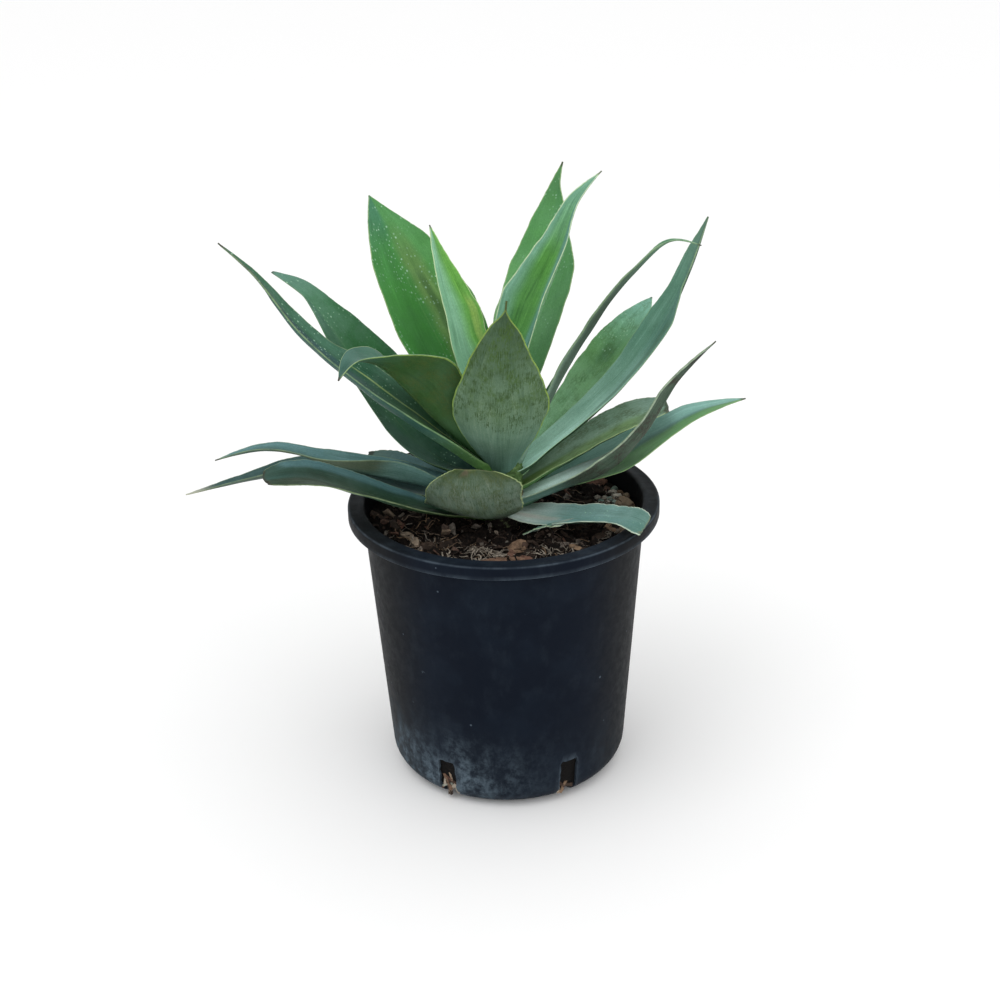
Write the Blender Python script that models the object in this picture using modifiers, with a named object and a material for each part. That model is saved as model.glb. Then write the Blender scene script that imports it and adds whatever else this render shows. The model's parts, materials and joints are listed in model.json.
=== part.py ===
"""A young foxtail agave in a plastic nursery pot.

The origin is on the pot's axis, on the surface that the pot stands on.
Lengths below are millimetres and angles degrees, and MM turns millimetres into Blender's metres.
An azimuth is counted from +X towards +Y; the pot's front is at 270.
"""

import math
import random

import bmesh
import bpy
import numpy as np
from mathutils import Matrix, Vector

MM = 0.001
FIT = 0.3
TURNS = 40
SHARP_FROM = math.radians(35)

# Pot: the wall's outer radii are where its straight line would meet the base and the rim.
POT_HEIGHT = 185.5
RIM_RADIUS = 100.0
RIM_THICKNESS = 2.4
RIM_TURN = 2.0
LIP_DROP = 8.5
LIP_THICKNESS = 1.8
EDGE_BREAK = 0.5
WALL_TOP_RADIUS = 91.0
WALL_BASE_RADIUS = 77.0
WALL = 2.0
FLOOR = 2.2
BASE_ROUNDING = 15.0

# Drain slots through the rounded bottom edge
SLOT_COUNT = 6
SLOT_FIRST_AZIMUTH = 239.0
SLOT_WIDTH = 12.5
SLOT_HEIGHT = 30.5
SLOT_CORNER = 2.0
SLOT_INTO_FLOOR = 14.0
SLOT_OVERRUN = 10.0

# Soil: the level at the wall, the dip around the stem, and what lies on it
SOIL_LEVEL = 170.5
SOIL_DIP = 3.0
SOIL_RELIEF = 1.5
SOIL_RINGS = 9
CHIP_COUNT = 34
CHIP_LENGTHS = (7.0, 15.0)
CHIP_WIDTHS = (3.0, 6.0)
CHIP_THICKNESS = 3.2
CHIP_NARROWING = 0.55
CHIP_TILT = 0.16
CHIP_SUNK = 0.3
CHIP_FROM_STEM = 12.0
CHIP_FROM_WALL = 9.0
GOLDEN_ANGLE = 137.5

# Stem, which narrows from its shoulder up, and the rolled spear of young leaves on it,
# whose swell has (part of its height, part of its greatest radius)
STEM_RADIUS = 13.0
STEM_FOOT = 140.0
STEM_SHOULDER = 208.0
STEM_TOP = 238.0
STEM_TOP_RADIUS = 5.5
STEM_FOOT_TAPER = 4.0
BUD_RADIUS = 4.4
BUD_TIP = 302.0
BUD_SWELL = ((0.0, 0.8), (0.12, 0.96), (0.3, 1.0), (0.5, 0.82), (0.7, 0.55), (0.87, 0.27), (0.97, 0.09))

# Blades: how each one is divided, and its thickness at the margin and at the midrib
SPANS = 14
ACROSS = (1.0, 0.55, 0.0, -0.55, -1.0)
MARGIN_THICKNESS = 0.8
TIP_THICKNESS = 1.2
TIP_WIDTH = 1.0


def blade(route, width, widest, root, taper, fold, roll=(0,), thick=4.4, cut=1.0, swells=(), channel=1.4,
          colour="green"):
    """One leaf. The route has (radius, azimuth, height) points along the midrib's upper side.

    width is the greatest width, at the part widest of the length, and root the width at the stem.
    A higher taper keeps the blade broad for longer before its tip. fold is how far each half
    rises from flat, and roll how far the left half rises more, both spread evenly along the
    length. A cut below 1 ends the blade there. Each swell moves one margin outwards: its side,
    1 for the left and -1 for the right, the part of the length it is at, by how much, and the
    part of the length over which it fades. A higher channel keeps the middle flat and turns up
    the margins.
    """
    return dict(route=route, width=width, widest=widest, root=root, taper=taper, fold=fold,
                roll=roll, thick=thick, cut=cut, swells=swells, channel=channel, colour=colour)


LEAVES = {
    "leaf_left_long": blade(
        [(13.5, 188, 210), (40, 188, 232), (84, 188, 270), (122, 188, 308), (150, 188, 348), (166, 188, 365)],
        width=42, widest=0.42, root=22, taper=1.15, fold=(20, 18, 8), roll=(0, -10, -6),
        channel=2.6, swells=((-1, 0.57, -5, 0.13), (1, 0.15, 5, 0.08), (1, 0.84, -6, 0.16)),
        colour="blue"),
    "leaf_left_broad": blade(
        [(13.5, 155, 197.5), (46, 155, 205.5), (69, 155, 221), (104, 155, 265), (138, 155, 304),
         (162, 155, 318)],
        width=62, widest=0.5, root=20, taper=1.35, fold=(20, 20, 10),
        swells=((1, 0.24, 8, 0.12), (1, 0.47, -3, 0.08), (1, 0.86, -10, 0.13), (-1, 0.92, 4, 0.08))),
    "leaf_left_folded": blade(
        [(11.4, 205, 217), (40, 205, 246), (64, 206, 275), (84, 207, 294), (99, 208, 298), (110, 209, 288)],
        width=60, widest=0.5, root=18, taper=1.6, fold=(25, 36, 10), roll=(0, 26, 0),
        swells=((1, 0.63, 5, 0.13),), colour="olive"),
    "leaf_back_left_broad": blade(
        [(10.6, 132, 220), (30, 132, 238), (55, 132, 272), (90, 132, 314), (124, 132, 361)],
        width=72, widest=0.5, root=18, taper=1.7, fold=(25, 20, 10),
        swells=((-1, 0.8, 5, 0.12), (1, 0.4, 5, 0.12))),
    "leaf_back_left_young": blade(
        [(8, 135, 231), (20, 135, 256), (38, 131, 289), (56, 128, 319), (75, 125, 349)],
        width=42, widest=0.4, root=13, taper=1.2, fold=(22, 32, 20),
        swells=((1, 0.4, 4, 0.1), (-1, 0.43, -4, 0.08)), colour="pale"),
    "leaf_back_broad": blade(
        [(9.5, 71, 225), (41, 71, 262), (65, 71, 290), (90, 71, 313), (120, 72, 343), (145, 72, 369)],
        width=50, widest=0.48, root=15, taper=1.2, fold=(25, 22, 10),
        swells=((-1, 0.9, -3, 0.08), (-1, 0.57, 4, 0.1), (1, 0.48, -3, 0.08))),
    "leaf_back_young": blade(
        [(7, 42, 236), (10, 42, 266), (30, 42, 304), (52, 43, 337), (73, 44, 369), (89, 42, 382)],
        width=46, widest=0.45, root=12, taper=1.1, fold=(20, 42, 20),
        swells=((-1, 0.8, -5, 0.12),), colour="pale"),
    "leaf_front_upright": blade(
        [(12.7, 262, 213.6), (29, 267, 235), (43, 270, 266), (50, 271, 300), (50, 275, 334)],
        width=63, widest=0.4, root=20, taper=1.4, fold=(15, 18, 10),
        swells=((1, 0.3, -3, 0.12), (1, 0.94, -3, 0.06), (-1, 0.94, -3, 0.06)), colour="olive"),
    "leaf_front_stub": blade(
        [(13.7, 260, 181.4), (26, 256.5, 186), (42, 253, 194), (50, 251.5, 209), (53, 250.5, 228)],
        width=70, widest=0.52, root=16, taper=3.5, fold=(2, 12, 5), roll=(8, 0), cut=0.94,
        swells=((1, 0.6, -9, 0.22), (1, 0.34, -4, 0.08), (-1, 0.36, 8, 0.2), (-1, 0.9, -3, 0.12)),
        colour="olive"),
    "leaf_front_right_torn": blade(
        [(15, 310, 179.8), (45, 321, 183.2), (78, 325, 189), (94, 326, 191), (103, 327, 188)],
        width=30, widest=0.6, root=16.5, taper=7, fold=(10, 15, 10), roll=(26, 5, 0), thick=3.4, cut=0.93,
        swells=((-1, 0.68, -10, 0.18),), colour="blue"),
    "leaf_left_low_long": blade(
        [(13.5, 176, 184), (60, 175, 190), (98, 175, 200), (130, 175, 204), (162, 175, 197), (208, 175, 184)],
        width=30, widest=0.4, root=18, taper=1.2, fold=(12, 25, 20), colour="blue"),
    "leaf_left_low_cut": blade(
        [(13.5, 206, 176), (38, 205, 183), (72, 205, 197), (102, 205, 213), (133, 205, 228), (158, 205, 231)],
        width=40, widest=0.6, root=14, taper=3, fold=(12, 16, 8), roll=(0, -3, -5), thick=3, cut=0.93,
        colour="blue"),
    "leaf_left_low_arching": blade(
        [(13.5, 182, 191), (53, 181, 199.5), (84, 180, 206), (110, 180, 213), (150, 179, 222),
         (184, 178, 213)],
        width=30, widest=0.35, root=17, taper=1.15, fold=(8, 40, 22, 20), roll=(5, 20, 0, 0),
        swells=((1, 0.65, -6, 0.12),), colour="blue"),
    "leaf_back_left_low": blade(
        [(13.5, 142, 176), (50, 144, 182), (80, 145, 187), (98, 146, 190), (112, 147, 190)],
        width=27, widest=0.6, root=16, taper=3, fold=(12, 16, 10), cut=0.94),
    "leaf_right_arching": blade(
        [(12, 10, 215.3), (31, 10, 252.5), (54.5, 10, 292), (83, 10, 328), (108, 10, 348), (129, 12, 342)],
        width=22, widest=0.35, root=13, taper=0.95, fold=(20, 46, 25), roll=(0, -12, -5), thick=3.4,
        swells=((1, 0.45, -9, 0.27), (-1, 0.42, -4, 0.15), (-1, 0.92, -4, 0.06))),
    "leaf_right_long": blade(
        [(13.5, 20, 206), (42, 20, 223), (80, 20, 251), (112, 20, 289), (141, 20, 354)],
        width=34, widest=0.66, root=20, taper=0.8, fold=(15, 14, 10),
        swells=((-1, 0.83, -13, 0.13), (-1, 0.3, -5, 0.25), (1, 0.86, 4, 0.1)), colour="blue"),
    "leaf_right_broad": blade(
        [(13.5, 50, 200), (55, 48, 219), (88, 47, 240), (118, 47, 259), (152, 47, 281)],
        width=33, widest=0.65, root=14, taper=2.6, fold=(14, 22, 12)),
    "leaf_right_blunt": blade(
        [(13.5, 14, 195), (40, 12, 208), (64, 13, 219), (90, 12, 231), (109, 10, 237)],
        width=38, widest=0.6, root=14, taper=4, fold=(15, 18, 12), cut=0.94),
    "leaf_right_narrow": blade(
        [(14.5, 330, 188.5), (40, 342, 200), (66, 346, 212), (90, 346, 239), (110, 346, 274),
         (133, 346, 300)],
        width=36, widest=0.35, root=18, taper=0.85, fold=(15, 23, 28), roll=(0, -13, -18),
        swells=((-1, 0.5, -3, 0.2),), colour="blue"),
    "leaf_right_low": blade(
        [(13.5, 3, 183), (50, 8, 197), (77, 9, 207.5), (103, 9, 222), (129, 9, 234), (159, 9, 240)],
        width=52, widest=0.48, root=16, taper=1.35, fold=(12, 5, 5),
        swells=((1, 0.62, -4, 0.1), (-1, 0.7, -4, 0.15), (-1, 0.12, -5, 0.12)),
        colour="blue"),
    "leaf_back_low": blade(
        [(13.5, 92, 192), (50, 92, 204), (90, 91, 213), (125, 90, 219), (150, 90, 219)],
        width=46, widest=0.5, root=16, taper=1.7, fold=(15, 22, 15)),
    "leaf_back_right_low": blade(
        [(13.5, 66, 182), (45, 65, 190), (80, 64, 198), (105, 64, 203), (122, 64, 204)],
        width=38, widest=0.5, root=16, taper=1.8, fold=(12, 22, 15)),
    "leaf_back_left_middle": blade(
        [(13.5, 112, 206), (45, 112, 224), (90, 112, 242), (125, 112, 256), (150, 112, 262)],
        width=52, widest=0.5, root=16, taper=1.6, fold=(18, 22, 10)),
}

# The strip torn from the near margin of the torn leaf
TORN_STRIP = blade([(51, 312, 183.6), (45, 303, 181.5), (42, 295, 179), (40, 287, 176.5)],
                   width=6, widest=0.2, root=5, taper=1.3, fold=(5,), thick=1.4)

COLOURS = {
    "green": (0.075, 0.195, 0.065),
    "blue": (0.085, 0.185, 0.145),
    "olive": (0.095, 0.145, 0.070),
    "pale": (0.180, 0.330, 0.160),
    "pot": (0.012, 0.015, 0.021),
    "soil": (0.045, 0.028, 0.018),
    "stem": (0.150, 0.170, 0.080),
}


def material(name, colour, roughness):
    made = bpy.data.materials.new(name)
    made.use_nodes = True
    shader = made.node_tree.nodes["Principled BSDF"]
    shader.inputs["Base Color"].default_value = (*colour, 1)
    shader.inputs["Roughness"].default_value = roughness
    shader.inputs["Metallic"].default_value = 0
    return made


def new_object(name, mesh, collection, parent=None, location=(0, 0, 0)):
    made = bpy.data.objects.new(name, mesh)
    collection.objects.link(made)
    made.parent = parent
    made.location = location
    return made


def applied(obj):
    """Swaps the object's mesh for the one that its modifiers make."""
    graph = bpy.context.evaluated_depsgraph_get()
    mesh = bpy.data.meshes.new_from_object(obj.evaluated_get(graph))
    obj.modifiers.clear()
    obj.data = mesh
    return mesh


def soften(mesh):
    """Smooth shading that keeps the mesh's real edges sharp."""
    mesh.shade_smooth()
    mesh.set_sharp_from_angle(angle=SHARP_FROM)


def arc(centre, radius, start, end, steps):
    """Points on an arc, from one angle to another, both counted from +X towards +Z."""
    angles = [math.radians(start + (end - start) * i / steps) for i in range(steps + 1)]
    return [(centre[0] + radius * math.cos(a), centre[1] + radius * math.sin(a)) for a in angles]


def turned(name, profile, collection, parent):
    """A solid turned from a profile of (radius, height) points that runs down its outer side."""
    mesh = bpy.data.meshes.new(name)
    points = [(r * MM, 0, z * MM) for r, z in profile]
    mesh.from_pydata(points, [(i, i + 1) for i in range(len(points) - 1)], [])
    made = new_object(name, mesh, collection, parent)
    screw = made.modifiers.new("Turn", "SCREW")
    screw.steps = screw.render_steps = TURNS
    screw.use_merge_vertices = True
    screw.merge_threshold = 0.00001
    soften(applied(made))
    return made


def wall_radius(height, inward=0.0):
    """Radius of the pot's straight outer wall at a height, or of a surface further in."""
    slope = (WALL_TOP_RADIUS - WALL_BASE_RADIUS) / POT_HEIGHT
    return WALL_BASE_RADIUS + slope * height - inward * math.hypot(1, slope)


def base_edge(inward):
    """The rounded bottom edge, from the wall down to the floor, this far inside the outer one."""
    lean = math.degrees(math.atan2(WALL_TOP_RADIUS - WALL_BASE_RADIUS, POT_HEIGHT))
    centre = (wall_radius(BASE_ROUNDING, BASE_ROUNDING), BASE_ROUNDING)
    return arc(centre, BASE_ROUNDING - inward, -lean, -90, 4)


def pot(collection, parent, cutters):
    under_rim = POT_HEIGHT - RIM_THICKNESS
    lip_foot = POT_HEIGHT - LIP_DROP
    inside = base_edge(WALL)[::-1]
    outside = base_edge(0)
    profile = [
        (0, FLOOR),
        (inside[0][0], FLOOR),
        *inside[1:],
        (wall_radius(under_rim, WALL), under_rim),
        (wall_radius(POT_HEIGHT, WALL) + EDGE_BREAK, POT_HEIGHT - EDGE_BREAK),
        (wall_radius(POT_HEIGHT, WALL) + 4 * EDGE_BREAK, POT_HEIGHT),
        *arc((RIM_RADIUS - RIM_TURN, POT_HEIGHT - RIM_TURN), RIM_TURN, 90, 0, 3),
        (RIM_RADIUS, lip_foot + EDGE_BREAK),
        (RIM_RADIUS - EDGE_BREAK, lip_foot),
        (RIM_RADIUS - LIP_THICKNESS, lip_foot),
        (RIM_RADIUS - LIP_THICKNESS - EDGE_BREAK, under_rim),
        (wall_radius(under_rim), under_rim),
        *outside,
        (0, 0),
    ]
    made = turned("pot", profile, collection, parent)
    for i in range(SLOT_COUNT):
        cut_slot(made, i, cutters)
    soften(applied(made))
    return made


def cut_slot(target, index, cutters):
    """A tall slot with barely rounded top corners, through the wall's foot and the floor's edge."""
    azimuth = math.radians(SLOT_FIRST_AZIMUTH + 360 / SLOT_COUNT * index)
    side = SLOT_WIDTH / 2 - SLOT_CORNER
    straight = SLOT_HEIGHT - SLOT_CORNER
    outline = [(-SLOT_WIDTH / 2, -SLOT_OVERRUN), (SLOT_WIDTH / 2, -SLOT_OVERRUN)]
    outline += arc((side, straight), SLOT_CORNER, 0, 90, 2)
    outline += arc((-side, straight), SLOT_CORNER, 90, 180, 2)
    inner, outer = WALL_BASE_RADIUS - SLOT_INTO_FLOOR, WALL_BASE_RADIUS + SLOT_OVERRUN
    mesh = bpy.data.meshes.new("slot")
    shape = bmesh.new()
    near = [shape.verts.new((inner * MM, y * MM, z * MM)) for y, z in outline]
    face = shape.faces.new(near)
    pushed = bmesh.ops.extrude_face_region(shape, geom=[face])
    moved = [v for v in pushed["geom"] if isinstance(v, bmesh.types.BMVert)]
    bmesh.ops.translate(shape, vec=((outer - inner) * MM, 0, 0), verts=moved)
    bmesh.ops.recalc_face_normals(shape, faces=shape.faces)
    shape.to_mesh(mesh)
    shape.free()
    cutter = new_object(f"slot_{index + 1}", mesh, cutters)
    cutter.rotation_euler = (0, 0, azimuth)
    cutter.hide_render = True
    cutter.display_type = "WIRE"
    cut = target.modifiers.new(f"Slot {index + 1}", "BOOLEAN")
    cut.operation = "DIFFERENCE"
    cut.object = cutter


def soil_height(x, y):
    """Height of the soil's surface, which dips towards the stem and is rough all over."""
    out = math.hypot(x, y) / wall_radius(SOIL_LEVEL, WALL)
    lumps = math.sin(0.21 * x + 1.3) * math.cos(0.17 * y - 0.6) + 0.6 * math.sin(0.37 * y + 0.29 * x)
    return SOIL_LEVEL - SOIL_DIP * (1 - out) + SOIL_RELIEF * lumps * min(1, 6 * (1 - out))


def soil(collection, parent, additions):
    """The root ball, one fit inside the pot, with a plain hole for the stem and chips fused on."""
    hole = STEM_RADIUS + FIT
    top_radius = wall_radius(SOIL_LEVEL, WALL + FIT)
    rings = [hole + (top_radius - hole) * (i / SOIL_RINGS) for i in range(SOIL_RINGS + 1)]
    foot = base_edge(WALL + FIT)
    profile = [
        (0, STEM_FOOT - FIT),
        (hole, STEM_FOOT - FIT),
        *[(radius, SOIL_LEVEL) for radius in rings],
        *foot[:-1],
        (foot[-1][0], FLOOR + FIT),
        (0, FLOOR + FIT),
    ]
    made = turned("soil", profile, collection, parent)
    for vertex in made.data.vertices:
        if vertex.co.z > (SOIL_LEVEL - 1) * MM:
            vertex.co.z = soil_height(vertex.co.x / MM, vertex.co.y / MM) * MM
    chips(additions)
    join = made.modifiers.new("Chips", "BOOLEAN")
    join.operation = "UNION"
    join.operand_type = "COLLECTION"
    join.collection = additions
    soften(applied(made))
    for chip in list(additions.objects):
        bpy.data.objects.remove(chip)
    return made


def chips(collection):
    """Flat wedges of bark, scattered over the soil and half sunk in it."""
    draw = random.Random(7)
    inner = STEM_RADIUS + CHIP_FROM_STEM
    outer = wall_radius(SOIL_LEVEL, WALL) - CHIP_FROM_WALL
    for i in range(CHIP_COUNT):
        azimuth = math.radians(i * GOLDEN_ANGLE + draw.uniform(-20, 20))
        radius = math.sqrt(draw.uniform(inner**2, outer**2))
        x, y = radius * math.cos(azimuth), radius * math.sin(azimuth)
        size = (draw.uniform(*CHIP_LENGTHS), draw.uniform(*CHIP_WIDTHS), CHIP_THICKNESS)
        turn = Matrix.Rotation(draw.uniform(0, math.tau), 4, "Z")
        tip = Matrix.Rotation(draw.uniform(-CHIP_TILT, CHIP_TILT), 4, "Y")
        place = Matrix.Translation(Vector((x, y, soil_height(x, y) - CHIP_SUNK)) * MM)
        shape = bmesh.new()
        bmesh.ops.create_cube(shape, size=MM, matrix=Matrix.Diagonal((*size, 1)))
        for vertex in shape.verts:
            if vertex.co.x > 0:
                vertex.co.y *= CHIP_NARROWING
        bmesh.ops.transform(shape, matrix=place @ turn @ tip, verts=shape.verts)
        mesh = bpy.data.meshes.new("chip")
        shape.to_mesh(mesh)
        shape.free()
        new_object(f"chip_{i + 1}", mesh, collection)


def stem(collection, parent):
    """The short caudex, from its foot in the soil to the narrow top that carries the spear."""
    profile = [
        (0, STEM_TOP),
        (STEM_TOP_RADIUS, STEM_TOP),
        (STEM_RADIUS, STEM_SHOULDER),
        (STEM_RADIUS, STEM_FOOT + STEM_FOOT_TAPER),
        (STEM_RADIUS - STEM_FOOT_TAPER, STEM_FOOT),
        (0, STEM_FOOT),
    ]
    return turned("stem", profile, collection, parent)


def bud(collection, parent):
    """The rolled spear of unopened leaves: widest a third of the way up, drawn out to a point."""
    foot = STEM_TOP + FIT
    height = BUD_TIP - foot
    profile = [(0, BUD_TIP)]
    profile += [(BUD_RADIUS * part, foot + height * up) for up, part in reversed(BUD_SWELL)]
    profile += [(0, foot)]
    return turned("bud", profile, collection, parent)


def spread(s, keys):
    """Values that pass smoothly from one key to the next, spread evenly over the length."""
    keys = np.asarray(keys, float)
    if len(keys) == 1:
        return np.full_like(s, keys[0])
    place = s * (len(keys) - 1)
    first = np.clip(place.astype(int), 0, len(keys) - 2)
    share = place - first
    share = share * share * (3 - 2 * share)
    return keys[first] * (1 - share) + keys[first + 1] * share


def route_points(route, s):
    """Points at the parts s of the length of a smooth curve through the route."""
    radius, azimuth, height = np.array(route, float).T
    azimuth = np.radians(azimuth)
    stops = np.stack([radius * np.cos(azimuth), radius * np.sin(azimuth), height], 1)
    steps = np.linalg.norm(np.diff(stops, axis=0), axis=1)
    knots = np.concatenate([[0], np.cumsum(steps)])
    slopes = np.gradient(stops, knots, axis=0)
    slopes[0] = 1.5 * (stops[1] - stops[0]) / steps[0] - 0.5 * slopes[1]
    slopes[-1] = 1.5 * (stops[-1] - stops[-2]) / steps[-1] - 0.5 * slopes[-2]
    fine = np.linspace(0, knots[-1], 400)
    leg = np.clip(np.searchsorted(knots, fine, side="right") - 1, 0, len(stops) - 2)
    run = steps[leg][:, None]
    u = (fine[:, None] - knots[leg][:, None]) / run
    curve = (
        (2 * u**3 - 3 * u**2 + 1) * stops[leg]
        + (u**3 - 2 * u**2 + u) * run * slopes[leg]
        + (3 * u**2 - 2 * u**3) * stops[leg + 1]
        + (u**3 - u**2) * run * slopes[leg + 1]
    )
    travelled = np.concatenate([[0], np.cumsum(np.linalg.norm(np.diff(curve, axis=0), axis=1))])
    wanted = travelled[-1] * s
    return np.stack([np.interp(wanted, travelled, curve[:, k]) for k in range(3)], 1)


def half_width(leaf, s, side):
    """Width from the midrib to one margin, at the parts s of the length."""
    part = s * leaf["cut"]
    root = leaf["root"] / leaf["width"]
    rise = root + (1 - root) * np.sin(math.pi / 2 * np.clip(part / leaf["widest"], 0, 1)) ** 1.3
    past = np.clip((part - leaf["widest"]) / (1 - leaf["widest"]), 0, 1)
    half = leaf["width"] / 2 * np.where(part < leaf["widest"], rise, 1 - past ** leaf["taper"])
    for swelling, place, outwards, reach in leaf["swells"]:
        if swelling == side:
            half = half + outwards * np.exp(-(((s - place) / reach) ** 2))
    return np.maximum(half, TIP_WIDTH / 2)


def blade_faces(leaf, s, across):
    """The upper and the lower face's points, at the parts s of the length and across the width."""
    step = 0.004
    middle = route_points(leaf["route"], s)
    ahead = route_points(leaf["route"], np.clip(s + step, 0, 1))
    forward = ahead - route_points(leaf["route"], np.clip(s - step, 0, 1))
    forward /= np.linalg.norm(forward, axis=1)[:, None]
    facing = math.radians(leaf["route"][1][1])
    level = np.array([-math.sin(facing), math.cos(facing), 0])
    left = level - (forward @ level)[:, None] * forward
    left /= np.linalg.norm(left, axis=1)[:, None]
    up = np.cross(forward, left)
    roll = np.radians(spread(s, leaf["roll"]))[:, None]
    left, up = left * np.cos(roll) + up * np.sin(roll), up * np.cos(roll) - left * np.sin(roll)
    fold = np.radians(spread(s, leaf["fold"]))
    thick = TIP_THICKNESS + (leaf["thick"] - TIP_THICKNESS) * (1 - s) ** 0.7
    upper, lower = [], []
    for v in across:
        half = half_width(leaf, s, np.sign(v))
        out = (half * v * np.cos(fold))[:, None] * left
        rise = (half * abs(v) ** leaf["channel"] * np.sin(fold))[:, None] * up
        depth = MARGIN_THICKNESS + np.clip(thick - MARGIN_THICKNESS, 0, 0.35 * half) * (1 - v * v)
        upper.append(middle + out + rise)
        lower.append(upper[-1] - depth[:, None] * up)
    return np.array(upper), np.array(lower)


def blade_object(name, leaf, collection, parent=None):
    """A closed blade, with the same triangles on its upper and lower faces."""
    s = np.linspace(0, 1, SPANS + 1)
    upper, lower = blade_faces(leaf, s, ACROSS)
    rows, stations = len(ACROSS), len(s)
    origin = upper[rows // 2, 0]
    points = (np.concatenate([upper.reshape(-1, 3), lower.reshape(-1, 3)]) - origin) * MM
    low = rows * stations

    def at(row, station):
        return row * stations + station

    faces = []
    for row in range(rows - 1):
        for i in range(stations - 1):
            a, b, c, d = at(row, i), at(row + 1, i), at(row + 1, i + 1), at(row, i + 1)
            split = [(a, b, c), (a, c, d)] if row < rows // 2 else [(a, b, d), (b, c, d)]
            faces += split
            faces += [tuple(low + p for p in reversed(three)) for three in split]
    for i in range(stations - 1):
        for row, turn in ((0, 1), (rows - 1, -1)):
            side = [at(row, i), at(row, i + 1), low + at(row, i + 1), low + at(row, i)]
            faces += [tuple(side[:3][::turn]), tuple([side[0], *side[2:]][::turn])]
    for row in range(rows - 1):
        for i, turn in ((0, -1), (stations - 1, 1)):
            end = [at(row, i), at(row + 1, i), low + at(row + 1, i), low + at(row, i)]
            faces += [tuple(end[:3][::turn]), tuple([end[0], *end[2:]][::turn])]
    mesh = bpy.data.meshes.new(name)
    mesh.from_pydata(points.tolist(), [], faces)
    mesh.shade_smooth()
    shape = bmesh.new()
    shape.from_mesh(mesh)
    bmesh.ops.recalc_face_normals(shape, faces=shape.faces)
    shape.to_mesh(mesh)
    shape.free()
    return new_object(name, mesh, collection, parent, Vector(origin) * MM)


def main():
    for obj in list(bpy.data.objects):
        bpy.data.objects.remove(obj)
    scene = bpy.context.scene
    plant = bpy.data.collections.new("potted_foxtail_agave")
    cutters = bpy.data.collections.new("cutters")
    additions = bpy.data.collections.new("additions")
    for collection in (plant, cutters, additions):
        scene.collection.children.link(collection)

    base = bpy.data.objects.new("stand", None)
    rosette = bpy.data.objects.new("rosette", None)
    plant.objects.link(base)
    plant.objects.link(rosette)
    rosette.parent = base

    vessel = pot(plant, base, cutters)
    vessel.data.materials.append(material("pot plastic", COLOURS["pot"], 0.55))
    earth = soil(plant, base, additions)
    earth.data.materials.append(material("potting mix", COLOURS["soil"], 0.95))
    caudex = stem(plant, rosette)
    caudex.data.materials.append(material("stem skin", COLOURS["stem"], 0.7))
    spear = bud(plant, rosette)
    spear.data.materials.append(material("spear leaf", COLOURS["pale"], 0.5))

    skins = {key: material(f"leaf {key}", COLOURS[key], 0.5) for key in ("green", "blue", "olive", "pale")}
    for name, leaf in LEAVES.items():
        made = blade_object(name, leaf, plant, rosette)
        if name == "leaf_front_right_torn":
            strip = blade_object("torn_strip", TORN_STRIP, additions)
            bpy.context.view_layer.update()
            join = made.modifiers.new("Torn strip", "BOOLEAN")
            join.operation = "UNION"
            join.object = strip
            applied(made)
            bpy.data.objects.remove(strip)
        made.data.materials.clear()
        made.data.materials.append(skins[leaf["colour"]])


main()
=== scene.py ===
import json
import math
import random

import bmesh
import bpy
import numpy as np
from mathutils import Matrix, Vector, noise as lumps


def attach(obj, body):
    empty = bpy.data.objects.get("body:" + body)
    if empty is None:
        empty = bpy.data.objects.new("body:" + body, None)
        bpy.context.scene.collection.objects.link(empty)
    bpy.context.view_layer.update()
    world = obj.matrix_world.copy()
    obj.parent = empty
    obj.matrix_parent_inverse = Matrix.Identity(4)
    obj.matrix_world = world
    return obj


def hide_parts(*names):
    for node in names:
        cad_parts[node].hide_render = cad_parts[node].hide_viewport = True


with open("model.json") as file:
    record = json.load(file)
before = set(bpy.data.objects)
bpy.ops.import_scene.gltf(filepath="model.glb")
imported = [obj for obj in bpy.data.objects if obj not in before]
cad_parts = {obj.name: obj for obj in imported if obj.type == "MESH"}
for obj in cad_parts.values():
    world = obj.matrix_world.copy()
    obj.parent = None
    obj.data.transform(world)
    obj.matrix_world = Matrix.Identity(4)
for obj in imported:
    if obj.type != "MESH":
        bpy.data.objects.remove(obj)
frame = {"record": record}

# A young foxtail agave in a plastic nursery pot. Sizes are in millimetres here, and mm makes metres of them.
mm = 0.001
scene = bpy.context.scene
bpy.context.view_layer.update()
slotOf = {part["node"]: part["material_slot"] for part in frame["record"]["subparts"]}


# camera, lights and floor, in metres
view = dict(place=(0.0, -1.0072, 0.6521), aim=(0.0, 0.9157, -0.4019), roll=-1.3, lens=62.2,
            shift=(-0.0027, -0.0382))
studio = dict(skyLight=1.02, paper=0.95, keyPlace=(-0.8, -0.7, 2.3), keySize=1.4, keyPower=9,
              fillPlace=(1.6, -1.2, 0.9), fillSize=1.6, fillPower=4, lightsAim=(0, 0, 0.2),
              floorCorners=((-6, -3, 0), (6, -3, 0), (6, 9, 0), (-6, 9, 0)))


def makeCamera():
    camera = bpy.data.objects.new("camera", bpy.data.cameras.new("camera"))
    scene.collection.objects.link(camera)
    forward = Vector(view["aim"]).normalized()
    side = forward.cross(Vector((0, 0, 1))).normalized()
    up = side.cross(forward)
    roll = math.radians(view["roll"])
    right = side * math.cos(roll) + up * math.sin(roll)
    above = up * math.cos(roll) - side * math.sin(roll)
    turn = Matrix((right, above, -forward)).transposed().to_4x4()
    camera.matrix_world = Matrix.Translation(view["place"]) @ turn
    camera.data.lens = view["lens"]
    camera.data.shift_x, camera.data.shift_y = view["shift"]
    scene.camera = camera


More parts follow.
